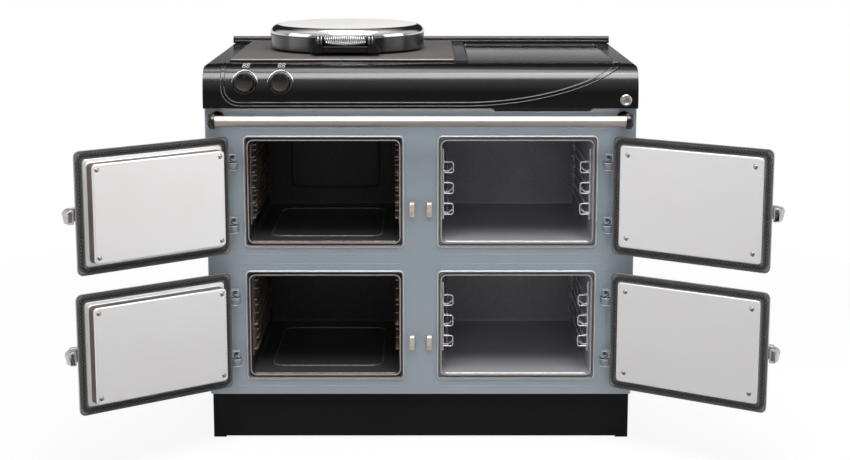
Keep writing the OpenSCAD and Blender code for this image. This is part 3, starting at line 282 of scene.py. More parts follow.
def vitreous(name, rim=False):
    """Glossy grey-blue enamel; on the oven rims it covers, it carries painted shade at the foot and
    a painted highlight on the crown.
    """
    made = Finish(name, Coat_Weight=0.6, Coat_Roughness=0.06)
    flow = made.noise(26, 3, 0.55)
    shade = made.mix(made.noise(2.2, 2), *enamel_tones)
    if rim:
        x, y, z = made.axes()
        over = abs(abs(x) - oven_x) - (mouth_half_x - mouth_corner)
        above = abs(abs(z - middle_z) - half_pitch) - (mouth_half_z - mouth_corner)
        over, above = over.math("MAXIMUM", over, 0.0), above.math("MAXIMUM", above, 0.0)
        from_mouth = (over * over + above * above) ** 0.5 - mouth_corner
        # Painted shade: brown at the foot of each rim, next to the oven mouth.
        brown_edge_and_painted_shade = (y < -0.3062) * made.range(from_mouth, 0.0030, 0.0024)
        shade = made.mix(brown_edge_and_painted_shade, shade, tone(92, 76, 74))
        # Painted highlight: a pale crest along each rim, also made partly metallic.
        crest_painted_highlight = made.range(y, -0.3072, -0.3080) * made.range(from_mouth, 0.0024, 0.0030)
        shade = made.mix(crest_painted_highlight, shade, tone(188, 192, 196))
        made.set(Metallic=crest_painted_highlight * 0.4)
    peel = made.noise(180, 2)
    rough = made.between(flow, 0.28, 0.35)
    made.set(Base_Color=shade, Roughness=rough, Normal=made.relief(peel, 0.00002, 0.4))
    return made


enamel = vitreous("Grey-blue vitreous enamel")
front_enamel = vitreous("Front plate enamel", rim=True)
windows = [(0, x) for x in (-oven_x, 0.0, oven_x)]
windows += [(2, z) for z in (oven_levels[0], middle_z, oven_levels[1])]
rounded("front_plate", front_enamel, 0.0011, cuts=windows)
rounded("left_side_panel", enamel, 0.0012)
rounded("right_side_panel", enamel, 0.0012)
bracket_enamel = two_tone("Hinge bracket enamel", (98, 110, 118), (128, 140, 147), 120)
bracket_enamel.set(Coat_Weight=1.0, Coat_Roughness=0.08)
rounded("hinge_brackets", bracket_enamel, 0.0014)
rounded("back_panel", galvanised)


def rounded_loop(wide, high, corner, steps=5):
    """Points of a rectangle with rounded corners, about its middle."""
    points = []
    for turn, (sx, sy) in enumerate([(1, 1), (-1, 1), (-1, -1), (1, -1)]):
        for i in range(steps + 1):
            a = math.radians(90 * (turn + i / steps))
            x = sx * (wide / 2 - corner) + corner * math.cos(a)
            points.append((x, sy * (high / 2 - corner) + corner * math.sin(a)))
    return points


def piece_of(name, mesh, finish, body, slot, *stands_for):
    """A piece made from a mesh that is already in its place."""
    mesh.name = name
    mesh.materials.clear()
    mesh.materials.append(finish.material)
    made = bpy.data.objects.new(name, mesh)
    show(made)
    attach(made, body)
    if stands_for:
        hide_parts(*stands_for)


def final_mesh(holder):
    """The mesh that an object's curve or modifiers make."""
    graph = bpy.context.evaluated_depsgraph_get()
    return bpy.data.meshes.new_from_object(holder.evaluated_get(graph))


def bars(name, lines, radius, finish, slot, closed=False, body="body"):
    """A piece of thin round bars along lines of points."""
    curve = bpy.data.curves.new("Bars", "CURVE")
    curve.dimensions = "3D"
    curve.bevel_depth = radius
    curve.bevel_resolution = 1
    curve.use_fill_caps = not closed
    for points in lines:
        spline = curve.splines.new("POLY")
        spline.points.add(len(points) - 1)
        spline.use_cyclic_u = closed
        for knot, point in zip(spline.points, points):
            knot.co = (*point, 1)
    holder = bpy.data.objects.new("Bars", curve)
    show(holder)
    mesh = final_mesh(holder)
    bpy.data.objects.remove(holder)
    mesh.shade_smooth()
    piece_of(name, mesh, finish, body, slot)


landing_shift, landing_y = 0.0108, -0.3056
landing = rounded_loop(0.3986, 0.294, 0.014)
landings = []
for x, z in oven_centres:
    middle = x + math.copysign(landing_shift, x)
    landings.append([(middle + u, landing_y, z + v) for u, v in landing])
bars("door_landings", landings, 0.0008, enamel, "grey_enamel", True)

# Pale for painted highlights: along the top edge of the front plate and on the hinges.
pale_painted_highlight = two_tone("Pale enamel edge", (186, 191, 195), (206, 210, 213), 30)
pale_painted_highlight.set(Coat_Weight=0.8, Roughness=0.2)
edge_y, edge_z, notch_z = -0.3062, 0.7898, 0.7828
top_edge = [(-0.484, edge_z), (0.1560, edge_z), (0.1630, notch_z)]
top_edge += [(0.3925, notch_z), (0.3995, edge_z), (0.484, edge_z)]
top_edge = [(x, edge_y, z) for x, z in top_edge]
bars("front_plate_edge", [top_edge], 0.0012, pale_painted_highlight, "grey_enamel")

# ---- Hidden works ----
# Mineral wool packs the space round the ovens, sheathed elements heat them,
# and the induction unit and the rotary switches hang under the casting.

wool = two_tone(
    "Mineral wool", (120, 108, 78), (190, 176, 132), 220, 4, 0.7, stretch=(1, 1, 4), Roughness=0.95
)
wool.set(Normal=wool.relief(wool.drift, 0.003))
coat("insulation", wool)

sheath = two_tone("Element sheath", (52, 49, 48), (92, 84, 80), 30, 3, rough=(0.42, 0.62))
sheath.set(Metallic=0.9)
coat("heating_elements", sheath)
coat("induction_unit", galvanised)

moulded = two_tone("Switch moulding", (205, 200, 186), (216, 212, 200), 40, Roughness=0.55)
moulded.set(Normal=moulded.relief(moulded.noise(700, 1), 0.0001))
rounded("rotary_switches", moulded, 0.0008)

# ---- Ovens ----
# Each oven is a cast liner with a rim that stands out through the front plate.
# The two on the left are black enamelled inside, with pressed runner walls.
# The two on the right are speckled grey, with wire frames hooked to their sides.

upper_floor, lower_floor = 0.4775, 0.1615


def speckled(name, ground, fleck, share, gloss, floor_painted_light):
    """Oven enamel: a glossy ground with fine pale flecks, paler in a band on its rim, and with
    painted light that makes its floor lighter.
    """
    made = Finish(name)
    ground, fleck = tone(*ground), tone(*fleck)
    cells = made.node("ShaderNodeTexVoronoi", {}, {"Vector": made.place, "Scale": 520})
    flecks = (cells < share) * made.range(made.noise(300, 1), 0.42, 0.6)
    mottle = made.noise(9, 3)
    shade = made.mix(mottle, ground, tuple(v * 1.35 for v in ground[:3]) + (1,))
    _, y, z = made.axes()
    # Painted light: each oven floor is made lighter, as if lit from the front.
    floor = (abs(z - upper_floor) < 0.004) + (abs(z - lower_floor) < 0.004)
    inner = made.mix(floor * floor_painted_light, made.mix(flecks, shade, fleck), tone(168, 168, 171))
    pale_rim_band = made.range(y, -0.3040, -0.3060) * 0.85
    made.set(
        Base_Color=made.mix(pale_rim_band, inner, tone(150, 147, 147)),
        Roughness=made.between(mottle, gloss, gloss + 0.14),
        Normal=made.relief(made.noise(55, 2), 0.0006, 0.6),
    )
    return made


black_enamel = speckled("Black oven enamel", (40, 38, 39), (120, 116, 112), 0.24, 0.26, 0.06)
grey_enamel = speckled("Grey oven enamel", (136, 136, 141), (200, 200, 202), 0.3, 0.3, 0.8)
for oven in ("upper_left_oven", "lower_left_oven"):
    rounded(oven, black_enamel, 0.0008)
for oven in ("upper_right_oven", "lower_right_oven"):
    rounded(oven, grey_enamel, 0.0008)
ridges = two_tone("Worn runner enamel", (66, 60, 57), (186, 172, 160), 130, rough=(0.278, 0.4))
ridges.set(Metallic=0.35)
rounded("left_oven_runners", ridges, 0.0005, sides=1)
rounded("oven_baffle", black_enamel, 0.0006)

chrome = two_tone("Bright chrome", (214, 214, 217), (228, 228, 230), 35, rough=(0.08, 0.16))
chrome.set(Metallic=1.0)
bright_wire = two_tone("Bright rack wire", (205, 205, 208), (236, 236, 238), 90, Metallic=0.6)
bright_wire.set(Roughness=bright_wire.between(bright_wire.noise(60, 2), 0.19, 0.27))
rounded("right_oven_racks", bright_wire)

hook_reach, hook_y, prong_y, hook_apart = 0.1590, -0.2790, -0.2765, 0.049
bent = [(u, 0.004 + v) for u, v in rounded_loop(0.0240, 0.0250, 0.005)]
prong = [(0.012, -0.004), (-0.002, -0.004), (-0.010, 0.003)]
hooks = []
for level in oven_levels:
    for side in (-1, 1):
        for z in (level - hook_apart, level, level + hook_apart):
            for path, y in ((bent + bent[:1], hook_y), (prong, prong_y)):
                hooks.append([(oven_x + side * (hook_reach + u), y, z + v) for u, v in path])
bars("right_rack_hooks", hooks, 0.0015, bright_wire, "bright_chrome")

sill_y, sill_drop, sill_ends = -0.3040, 0.1170, (-0.1640, 0.1640)
sills = [[(x + u, sill_y, z - sill_drop) for u in sill_ends] for x, z in oven_centres]
bars("left_oven_sills", sills[:2], 0.0018, ridges, "oven_black")
bars("right_oven_sills", sills[2:], 0.0020, bright_wire, "oven_grey")

rib_y, rib_drop = -0.060, 0.1180
floor_ribs = [
    [(-oven_x + u, rib_y + v, z - rib_drop) for u, v in rounded_loop(0.262, 0.350, 0.03)]
    for z in oven_levels
]
bars("left_oven_floor_ribs", floor_ribs, 0.0016, ridges, "oven_black", True)

# ---- Keepers and hinge pins ----
# A bright steel keeper is screwed to the front plate beside each pair of ovens.
# Plain turned pins stand in the hinge brackets.

steel_ends = (176, 172, 168), (205, 201, 197)
steel = two_tone("Turned steel", *steel_ends, 160, 3, 0.6, stretch=(1, 1, 6), rough=(0.278, 0.36))
steel.set(Metallic=1.0)
brushed_keeper = two_tone("Brushed keeper", (188, 170, 156), (214, 200, 188), 160, Metallic=0.3)
brushed_keeper.set(Roughness=brushed_keeper.between(brushed_keeper.noise(90, 2), 0.28, 0.36))
rounded("keepers", brushed_keeper, 0.0012, sides=3)
rounded("hinge_pins", steel)

# ---- Doors ----
# Four cast doors in the casing's enamel, each hung on two lift-off pins.
# Inside each a braided rope seals against the front, round a pressed pan held by four screws.

hinge_x, hinge_y, hinge_offset = 0.430, -0.328, 0.073
door_middle = 0.2075
hung = {
    "upper_left_door": (-1, oven_levels[1], 142),
    "upper_right_door": (1, oven_levels[1], 147),
    "lower_left_door": (-1, oven_levels[0], 144),
    "lower_right_door": (1, oven_levels[0], 148),
}


def place_of(door):
    """The matrix that puts a shape drawn on a shut left-hand door into that door's place."""
    side, height, angle = hung[door]
    place = Matrix.Translation((side * hinge_x, hinge_y, height))
    place @= Matrix.Rotation(math.radians(side * angle), 4, "Z")
    return place @ Matrix.Diagonal((-side, 1, 1, 1))


def hang(mesh, door, depth=None):
    """Puts a mesh in its door's place; one that was drawn flat is first stood up at this depth."""
    if depth is not None:
        mesh.transform(Matrix.Rotation(math.radians(-90), 4, "X"))
        mesh.transform(Matrix.Translation((door_middle, depth, 0)))
    mesh.transform(place_of(door))
    if hung[door][0] > 0:
        mesh.flip_normals()


class Recipe:
    """A Geometry Nodes tree with named inputs, run once and kept as a plain mesh."""

    def __init__(self, name, **sizes):
        self.tree = bpy.data.node_groups.new(name, "GeometryNodeTree")
        sockets = self.tree.interface
        sockets.new_socket("Geometry", in_out="OUTPUT", socket_type="NodeSocketGeometry")
        self.sizes = sizes
        for key in sizes:
            sockets.new_socket(key, in_out="INPUT", socket_type="NodeSocketFloat")
        self.entry = self.tree.nodes.new("NodeGroupInput")

    def size(self, key):
        return self.entry.outputs[key]

    def node(self, kind, settings=None, values=(), out=0):
        return add_node(self.tree, kind, settings, values, out)

    def sum(self, operation, *values):
        return self.node("ShaderNodeMath", {"operation": operation}, values)

    def run(self, shape, finish):
        """Ends the tree in real geometry with the finish on it, and returns the mesh."""
        shape = self.node("GeometryNodeRealizeInstances", {}, {"Geometry": shape})
        shape = self.node("GeometryNodeSetShadeSmooth", {}, {"Geometry": shape})
        values = {"Geometry": shape, "Material": finish.material}
        shape = self.node("GeometryNodeSetMaterial", {}, values)
        end = self.tree.nodes.new("NodeGroupOutput")
        self.tree.links.new(shape, end.inputs[0])
        holder = bpy.data.objects.new(self.tree.name, bpy.data.meshes.new(self.tree.name))
        show(holder)
        maker = holder.modifiers.new(self.tree.name, "NODES")
        maker.node_group = self.tree
        for item in self.tree.interface.items_tree:
            if item.in_out == "INPUT":
                maker[item.identifier] = self.sizes[item.name]
        mesh = final_mesh(holder)
        holder.modifiers.remove(maker)
        bpy.data.objects.remove(holder)
        return mesh


def rope_recipe(strands, turns, steps, half_width, half_height):
    """Flat strands plaited over and under each other, on a loop round the door."""
    sizes = dict(Long=0.359, High=0.251, Corner=0.0105, Turns=float(turns), Tape=0.0017)
    made = Recipe("Braided rope", **sizes, Half_width=half_width, Half_height=half_height)
    size, node, total = made.size, made.node, made.sum
    square = "GeometryNodeCurvePrimitiveQuadrilateral"
    loop = node(square, {}, {"Width": size("Long"), "Height": size("High")})
    values = {"Curve": loop, "Count": 8, "Radius": size("Corner")}
    loop = node("GeometryNodeFilletCurve", {"mode": "POLY"}, values)
    core_path = node("GeometryNodeResampleCurve", {}, {"Curve": loop, "Count": 240})
    path = node("GeometryNodeResampleCurve", {}, {"Curve": loop, "Count": turns * steps})
    values = {"Geometry": path, "Amount": strands}
    many = node("GeometryNodeDuplicateElements", {"domain": "SPLINE"}, values)
    number = many.node.outputs[1]
    pale = total("MODULO", number, 2.0)
    values = {"Geometry": many, "Name": "pale_strand", "Value": pale}
    settings = {"data_type": "FLOAT", "domain": "CURVE"}
    many = node("GeometryNodeStoreNamedAttribute", settings, values)
    phase = total("MULTIPLY", number, math.tau / strands)
    swing = total("MULTIPLY", node("GeometryNodeSplineParameter"), size("Turns"))
    theta = total("MULTIPLY_ADD", swing, math.tau, phase)
    sideways = total("MULTIPLY", total("SINE", theta), size("Half_width"))
    weave = total("MULTIPLY", total("SUBTRACT", theta, math.pi / 2), float(strands - 1))
    upward = total("MULTIPLY", total("SINE", weave), size("Half_height"))
    cross = {0: node("GeometryNodeInputTangent"), 1: (0, 0, 1)}
    across = node("ShaderNodeVectorMath", {"operation": "CROSS_PRODUCT"}, cross)
    shift = node("ShaderNodeVectorMath", {"operation": "SCALE"}, {0: across, "Scale": sideways})
    rise = node("ShaderNodeCombineXYZ", {}, {"Z": upward})
    offset = node("ShaderNodeVectorMath", {"operation": "ADD"}, {0: shift, 1: rise})
    wound = node("GeometryNodeSetPosition", {}, {"Geometry": many, "Offset": offset})
    wound = node("GeometryNodeSetCurveNormal", {"mode": "Z_UP"}, {"Curve": wound})
    ring = node("GeometryNodeCurvePrimitiveCircle", {}, {"Resolution": 6, "Radius": size("Tape")})
    tape = node("GeometryNodeTransform", {}, {"Geometry": ring, "Scale": (0.4, 1, 1)})
    plait = node("GeometryNodeCurveToMesh", {}, {"Curve": wound, "Profile Curve": tape})
    flat = node(square, {}, {"Width": 0.0022, "Height": 1.9 * half_width})
    bed = node("GeometryNodeCurveToMesh", {}, {"Curve": core_path, "Profile Curve": flat})
    bed = node("GeometryNodeTransform", {}, {"Geometry": bed, "Translation": (0, 0, -0.0018)})
    joined = node("GeometryNodeJoinGeometry", {}, {0: plait})
    made.tree.links.new(bed, joined.node.inputs[0])
    return made, joined


rope = Finish("Braided rope", Roughness=0.8, Sheen_Weight=0.25)
fibres = rope.noise(1400, 3, 0.7)
dust = rope.range(rope.noise(260, 2, 0.6), 0.52, 0.66)
pale = rope.node("ShaderNodeAttribute", {"attribute_name": "pale_strand"}, {}, "Fac")
yarn = rope.mix(fibres, tone(9, 9, 10), tone(34, 33, 33))
rope.set(
    Base_Color=rope.mix(pale * rope.between(dust, 0.45, 1.0), yarn, tone(132, 129, 127)),
    Normal=rope.relief(fibres, 0.0004),
)

pressed = Finish("Bright pressed pan", Metallic=0.6)
satin = pressed.noise(1100, 2, 0.6)
clouds = pressed.noise(4, 3)
wall = pressed.node("ShaderNodeAttribute", {"attribute_name": "wall"}, {}, "Fac")
face_tone = pressed.mix(clouds, tone(236, 232, 230), tone(244, 244, 246))
# Painted shade: the pan's side walls are painted darker and browner than its face.
wall_painted_shade = pressed.mix(pressed.noise(14, 2), tone(92, 82, 76), tone(142, 134, 130))
pressed.set(
    Base_Color=pressed.mix(wall, face_tone, wall_painted_shade),
    Roughness=pressed.between(satin, 0.38, 0.5),
    Normal=pressed.relief(clouds, 0.003, 0.4),
)

cast_alloy = two_tone(
    "Satin cast alloy", (184, 180, 178), (212, 210, 209), 260, 3, 0.6, rough=(0.28, 0.34)
)
cast_alloy.set(Metallic=0.5, Normal=cast_alloy.relief(cast_alloy.drift, 0.0002))


def circle(radius, count):
    """Pairs of numbers round a circle."""
    turns = [math.tau * i / count for i in range(count)]
    return [(radius * math.cos(a), radius * math.sin(a)) for a in turns]


def ring_of(half_x, half_z, corner, y):
    """A rounded loop of points at one depth, on a shut door."""
    loop = rounded_loop(2 * half_x, 2 * half_z, corner, 6)
    return [(door_middle + u, y, v) for u, v in loop]


screw_x, screw_z = 0.1516, 0.0957


def pressed_pan(boxed):
    """The pan as one skin: folded edge, flange, wall, rolled edge, and a face with four dimples."""
    bed, flange = 0.0114, 0.0164
    rings = [
        (0.1715, 0.1175, 0.0090, bed),
        (0.1715, 0.1175, 0.0090, flange - 0.0018),
        (0.1710, 0.1170, 0.0088, flange - 0.0005),
    ]
    if boxed:
        half_x, half_z, corner, face, roll = 0.1634, 0.1094, 0.0090, 0.0434, 0.0038
        rings += [
            (0.1698, 0.1158, 0.0080, flange),
            (half_x + 0.0022, half_z + 0.0022, 0.0100, flange),
            (half_x + 0.0008, half_z + 0.0008, 0.0095, flange + 0.0006),
            (half_x, half_z, corner, flange + 0.0022),
        ]
        half_x, half_z = half_x - 0.0006, half_z - 0.0006
    else:
        half_x, half_z, corner, face, roll = 0.1712, 0.1172, 0.0088, 0.0204, 0.0034
    for i in range(7):
        a = math.radians(15 * i)
        inward = roll * (1 - math.cos(a))
        height = face - roll + roll * math.sin(a)
        rings.append((half_x - inward, half_z - inward, corner - 0.5 * inward, height))
    inward = roll + 0.0004
    rings.append((half_x - inward, half_z - inward, corner - 0.5 * inward, face))
    shape = bmesh.new()
    loops = [[shape.verts.new(p) for p in ring_of(*ring)] for ring in rings]
    for lower, upper in zip(loops, loops[1:]):
        for i in range(len(lower)):
            shape.faces.new((lower[i - 1], upper[i - 1], upper[i], lower[i]))
    rim = [shape.edges.get((loops[-1][i - 1], loops[-1][i])) for i in range(len(loops[-1]))]
    dish = [(0.0067, 0), (0.0064, 0), (0.0060, -0.0003), (0.0053, -0.0014), (0.0046, -0.0018)]
    dish += [(0.0043, -0.0018), (0, -0.0018)]
    for sx, sz in ((1, 1), (-1, 1), (-1, -1), (1, -1)):
        x, z = door_middle + sx * screw_x, sz * screw_z
        last = None
        for radius, sink in dish:
            if radius == 0:
                shape.faces.new(last)
                break
            ring = [shape.verts.new((x + u, face + sink, z + v)) for u, v in circle(radius, 20)]
            for i in range(20):
                if last:
                    shape.faces.new((last[i - 1], ring[i - 1], ring[i], last[i]))
                else:
                    rim.append(shape.edges.new((ring[i - 1], ring[i])))
            last = ring
    bmesh.ops.triangle_fill(shape, edges=rim, use_beauty=True)
    bmesh.ops.recalc_face_normals(shape, faces=shape.faces)
    front = max(shape.faces, key=lambda f: f.calc_area())
    if front.normal.y < 0:
        bmesh.ops.reverse_faces(shape, faces=shape.faces)
    # Marks the side walls, which the finish darkens as painted shade.
    wall = shape.faces.layers.float.new("wall")
    for side in shape.faces:
        high = side.calc_center_median().y
        side[wall] = float(abs(side.normal.y) < 0.35 and flange < high < face - 0.001)
    mesh = bpy.data.meshes.new("Pressed pan")
    shape.to_mesh(mesh)
    shape.free()
    mesh.shade_smooth()
    return mesh


def pan_screws():
    """Four raised-head screws, at the corners of a pan."""
    made = Recipe("Pan screws", Spread_x=screw_x, Spread_z=screw_z, Head=0.0054)
    size, node = made.size, made.node
    wide = made.sum("MULTIPLY", size("Spread_x"), 2.0)
    high = made.sum("MULTIPLY", size("Spread_z"), 2.0)
    values = {"Size X": wide, "Size Y": high, "Vertices X": 2, "Vertices Y": 2}
    grid = node("GeometryNodeMeshGrid", {}, values)
    values = {"Segments": 16, "Rings": 8, "Radius": size("Head")}
    head = node("GeometryNodeMeshUVSphere", {}, values)
    head = node("GeometryNodeTransform", {}, {"Geometry": head, "Scale": (1, 1, 0.42)})
    values = {"Points": grid, "Instance": head}
    return made, node("GeometryNodeInstanceOnPoints", {}, values)


screw_steel = two_tone("Screw heads", (150, 122, 104), (236, 230, 224), 900, 1)
screw_steel.set(Metallic=1.0, Roughness=0.25)
lip_depth = 0.0146


def burnt_lip(piece, door):
    """Marks the faces of a door's lip, nearest the oven, for the burnt edge colour."""
    back = place_of(door).inverted()
    mark = piece.data.attributes.new("lip", "FLOAT", "FACE")
    for face in piece.data.polygons:
        mark.data[face.index].value = float((back @ face.center).y > lip_depth)


door_enamel = Finish("Door enamel", Coat_Weight=0.6, Coat_Roughness=0.06)
lip = door_enamel.node("ShaderNodeAttribute", {"attribute_name": "lip"}, {}, "Fac")
shade = door_enamel.mix(door_enamel.noise(2.2, 2), *enamel_tones)
brown_edge_and_painted_shade = door_enamel.mix(door_enamel.noise(60, 2), tone(66, 52, 47), tone(112, 96, 90))
door_enamel.set(
    Base_Color=door_enamel.mix(lip, shade, brown_edge_and_painted_shade),
    Roughness=door_enamel.between(door_enamel.noise(26, 3, 0.55), 0.278, 0.34),
)
# Black for bars that stand in for shade: at the hinge splits, in the hinge eyes and in the vent.
shade_black = two_tone("Satin black collar", (8, 8, 9), (20, 20, 21), 300, Roughness=0.5)
hinges = [
    (side * hinge_x, z + offset)
    for side in (-1, 1)
    for z in oven_levels
    for offset in (-hinge_offset, hinge_offset)
]
# Painted shade: a black ring in the split between each hinge eye and its cup.
collar_shade_and_highlight_rings = [[(x + u, hinge_y + v, z + 0.0003) for u, v in circle(0.0108, 24)] for x, z in hinges]
bars("hinge_split_shade", collar_shade_and_highlight_rings, 0.0013, shade_black, "satin_black", True)


def front_arc(x, z, radius):
    """An arc round the front of a hinge, level with z."""
    turns = [math.radians(10 * i) for i in range(-8, 9)]
    return [(x + radius * math.sin(a), hinge_y - radius * math.cos(a), z) for a in turns]


# Painted highlights: pale arcs round the front of each hinge cup.
cup_rings = ((0.0016, 0.0123), (0.0176, 0.0120))
cup_edges = [front_arc(x, z - drop, r) for x, z in hinges for drop, r in cup_rings]
bars("hinge_cup_edges", cup_edges, 0.0007, pale_painted_highlight, "grey_enamel")


def eye_marks(door):
    """The open slot in each hinge eye, as painted shade: black bars for a dark hole, and for a
    groove that winds from it to the collar.

    The paths are in degrees round the eye from its front, and in millimetres above the hinge.
    """
    side, height, _ = hung[door]
    winding = [(14, 14.4), (4, 13.6), (-10, 11.6), (-20, 9.0), (-16, 6.4)]
    winding += [(0, 4.8), (18, 3.6), (34, 2.2), (46, 0.8)]
    hole = [(18 + 22 * u, 13.0 + 3.2 * v) for u, v in circle(1.0, 12)]
    filling = [[(10, 13.0), (28, 13.0)], [(12, 14.6), (26, 14.6)], [(12, 11.4), (26, 11.4)]]
    radius = 0.0098
    lines = []
    for z in (height - hinge_offset, height + hinge_offset):
        for path in (winding, hole + hole[:1], *filling):
            line = []
            for turn, rise in path:
                a = math.radians(-side * turn)
                x = side * hinge_x + radius * math.sin(a)
                line.append((x, hinge_y - radius * math.cos(a), z + rise / 1000))
            lines.append(line)
    return lines


eye_top, eye_radius = 0.0179, 0.0097
rope_depth, boxed_screw_depth, flat_screw_depth = 0.0147, 0.0422, 0.0192
for door, (side, height, _) in hung.items():
    body = door + "_body"
    burnt_lip(rounded(door, door_enamel, 0.0012, angle=32), door)
    # Painted shade: black bars draw the slot and the hole in each hinge eye.
    bars(door + "_eye_slot_shade", eye_marks(door), 0.0011, shade_black, "satin_black", body=body)
    # Painted highlights: pale arcs along the top of each hinge eye.
    tops = [
        front_arc(side * hinge_x, height + offset + eye_top, eye_radius)
        for offset in (-hinge_offset, hinge_offset)
    ]
    bars(door + "_eye_edges", tops, 0.0007, pale_painted_highlight, "grey_enamel", body=body)
    rounded(door + "_latch", cast_alloy, 0.0008)
    recipe, shape = rope_recipe(6, turns=48, steps=32, half_width=0.0051, half_height=0.0014)
    mesh = recipe.run(shape, rope)
    hang(mesh, door, rope_depth)
    piece_of(door + "_rope", mesh, rope, body, "rope", door + "_seal")
    boxed = side < 0
    mesh = pressed_pan(boxed)
    hang(mesh, door)
    piece_of(door + "_pan", mesh, pressed, body, "door_pan", door + "_liner")
    recipe, shape = pan_screws()
    mesh = recipe.run(shape, screw_steel)
    hang(mesh, door, boxed_screw_depth if boxed else flat_screw_depth)
    piece_of(door + "_screws", mesh, screw_steel, body, "pin_steel")

# ---- Handrail ----
# A brushed stainless tube across the front, to hang cloths on.
# It is held at each end in a glossy black cast bracket that stands on the front.

tube_ends = (226, 214, 206), (240, 230, 223)
brushed = two_tone("Brushed stainless tube", *tube_ends, 60, 3, 0.6, stretch=(0.6, 14, 14))
brushed.set(
    Metallic=1.0,
    Roughness=brushed.between(brushed.drift, 0.42, 0.5),
    Normal=brushed.relief(brushed.drift, 0.0001, 0.6),
)
rounded("handrail", brushed)

moulding = two_tone("Glossy black casting", (14, 14, 16), (24, 24, 26), 90, Roughness=0.16)
gloss = moulding.relief(moulding.drift, 0.0004, 0.5)
moulding.set(Coat_Weight=0.5, Coat_Roughness=0.05, Normal=gloss)
rounded("handrail_brackets", moulding, 0.0008)

# ---- Top casting ----
# Fascia and deck are one casting in gloss black enamel, with a double bead swept across its front.
# The curve is a superellipse, from the foot of the front to the flat deck. A rail stands along the
# back, a vent is let into the deck, and marks are printed over the controls.

gloss_black = Finish("Gloss black enamel", Coat_Weight=0.5, Coat_Roughness=0.14)
ripple = gloss_black.noise(34, 3, 0.5, gloss_black.stretched(1, 1.6, 1.6))
swell = gloss_black.noise(9, 2)
gloss_black.set(
    Base_Color=gloss_black.mix(swell, tone(3, 3, 4), tone(7, 6, 8)),
    Roughness=gloss_black.between(ripple, 0.21, 0.27),
    Normal=gloss_black.relief(ripple, 0.0004, 0.3, gloss_black.relief(swell, 0.0009, 0.25)),
)


fascia_foot, fascia_high = 0.792, 0.096
fascia_root, fascia_deep = -0.244, 0.087
squareness = 3.5


def fascia_at(z, proud=0.0):
    """Depth of the fascia's curve at a height, and of the bead that stands proud of it."""
    rise = min(max((z - fascia_foot) / (fascia_high + proud), 0), 1)
    return fascia_root - (fascia_deep + proud) * (1 - rise**squareness) ** (1 / squareness)


def true_normals(piece):
    """Gives the facets of the fascia and its bead the normals of the curve they stand for."""
    mesh = final_mesh(piece)
    piece.modifiers.clear()
    piece.data = mesh
    normals = [corner.vector.copy() for corner in mesh.corner_normals]
    step, margin = 0.0001, 0.0005
    for face in mesh.polygons:
        for corner in face.loop_indices:
            at = mesh.vertices[mesh.loops[corner].vertex_index].co
            for proud in (0.0, 0.002):
                crest = fascia_foot + fascia_high + proud
                on_curve = fascia_foot + margin < at.z < crest - margin and at.y < -0.25
                if not on_curve or abs(at.y - fascia_at(at.z, proud)) > 0.0003:
                    continue
                rise = fascia_at(at.z + step, proud) - fascia_at(at.z - step, proud)
                true = Vector((0, -1, rise / (2 * step))).normalized()
                if face.normal.dot(true) > 0.97:
                    normals[corner] = true
    mesh.normals_split_custom_set(normals)


true_normals(rounded("top_casting", gloss_black, 0.0008, angle=30))


def bead_line(shift):
    """A line along the bead, this far to one side of its middle."""
    bend_x, bend_z, bend = -0.411, 0.839, 0.037
    path = [(bend_x - bend, 0.884), (bend_x - bend, 0.860)]
    for degrees in range(180, 271, 15):
        a = math.radians(degrees)
        path.append((bend_x + bend * math.cos(a), bend_z + bend * math.sin(a)))
    sweep = [(0.0987, 0.802), (0.2418, 0.802), (0.3855, 0.838), (0.4555, 0.893)]
    for i in range(25):
        t = i / 24
        share = ((1 - t) ** 3, 3 * t * (1 - t) ** 2, 3 * t * t * (1 - t), t**3)
        path.append(tuple(sum(w * p[axis] for w, p in zip(share, sweep)) for axis in (0, 1)))
    line = []
    for i, (x, z) in enumerate(path):
        before, after = path[max(i - 1, 0)], path[min(i + 1, len(path) - 1)]
        dx, dz = after[0] - before[0], after[1] - before[1]
        long = math.hypot(dx, dz)
        x, z = x - shift * dz / long, z + shift * dx / long
        if z < 0.886:
            line.append((x, fascia_at(z, 0.002) + 0.0003, z))
    return line


# Grey for painted highlights: along the bead's edges, the rear rail's ribs, the bezels' edges and
# the guard's edge.
grey_painted_highlight = two_tone("Edge of the bead", (84, 82, 86), (126, 123, 126), 40)
grey_painted_highlight.set(Coat_Weight=0.4, Roughness=0.3)
# Painted highlights: grey lines along both edges of the fascia's bead.
bead_lines = [bead_line(0.0037), bead_line(-0.0037)]
bars("bead_edges", bead_lines, 0.0008, grey_painted_highlight, "black_enamel")
rounded("rear_rail", gloss_black, 0.0006)
rounded("fascia_stud", steel)
rail_half, rail_y = 0.488, 0.2822
# Painted highlights: grey lines along the two ribs of the rear rail.
rail_ribs = [[(-rail_half, rail_y, z), (rail_half, rail_y, z)] for z in (0.8945, 0.9015)]
bars("rear_rail_ribs", rail_ribs, 0.0007, grey_painted_highlight, "black_enamel")

lid_x = -0.18225
# Painted shade: black bars fill the vent slot in the deck.
vent_shade_lines = []
for i in range(9):
    y = -0.2460 - 0.0026 * i
    bow = max(0.0, fascia_root - y) / fascia_deep
    z = fascia_foot + fascia_high * (1 - bow**squareness) ** (1 / squareness) - 0.0004
    reach = 0.0620 + 0.0040 * math.sin(math.pi * i / 8)
    vent_shade_lines.append([(lid_x - reach, y, z), (lid_x + reach, y, z)])
bars("vent_shade_bars", vent_shade_lines, 0.0012, shade_black, "black_enamel")
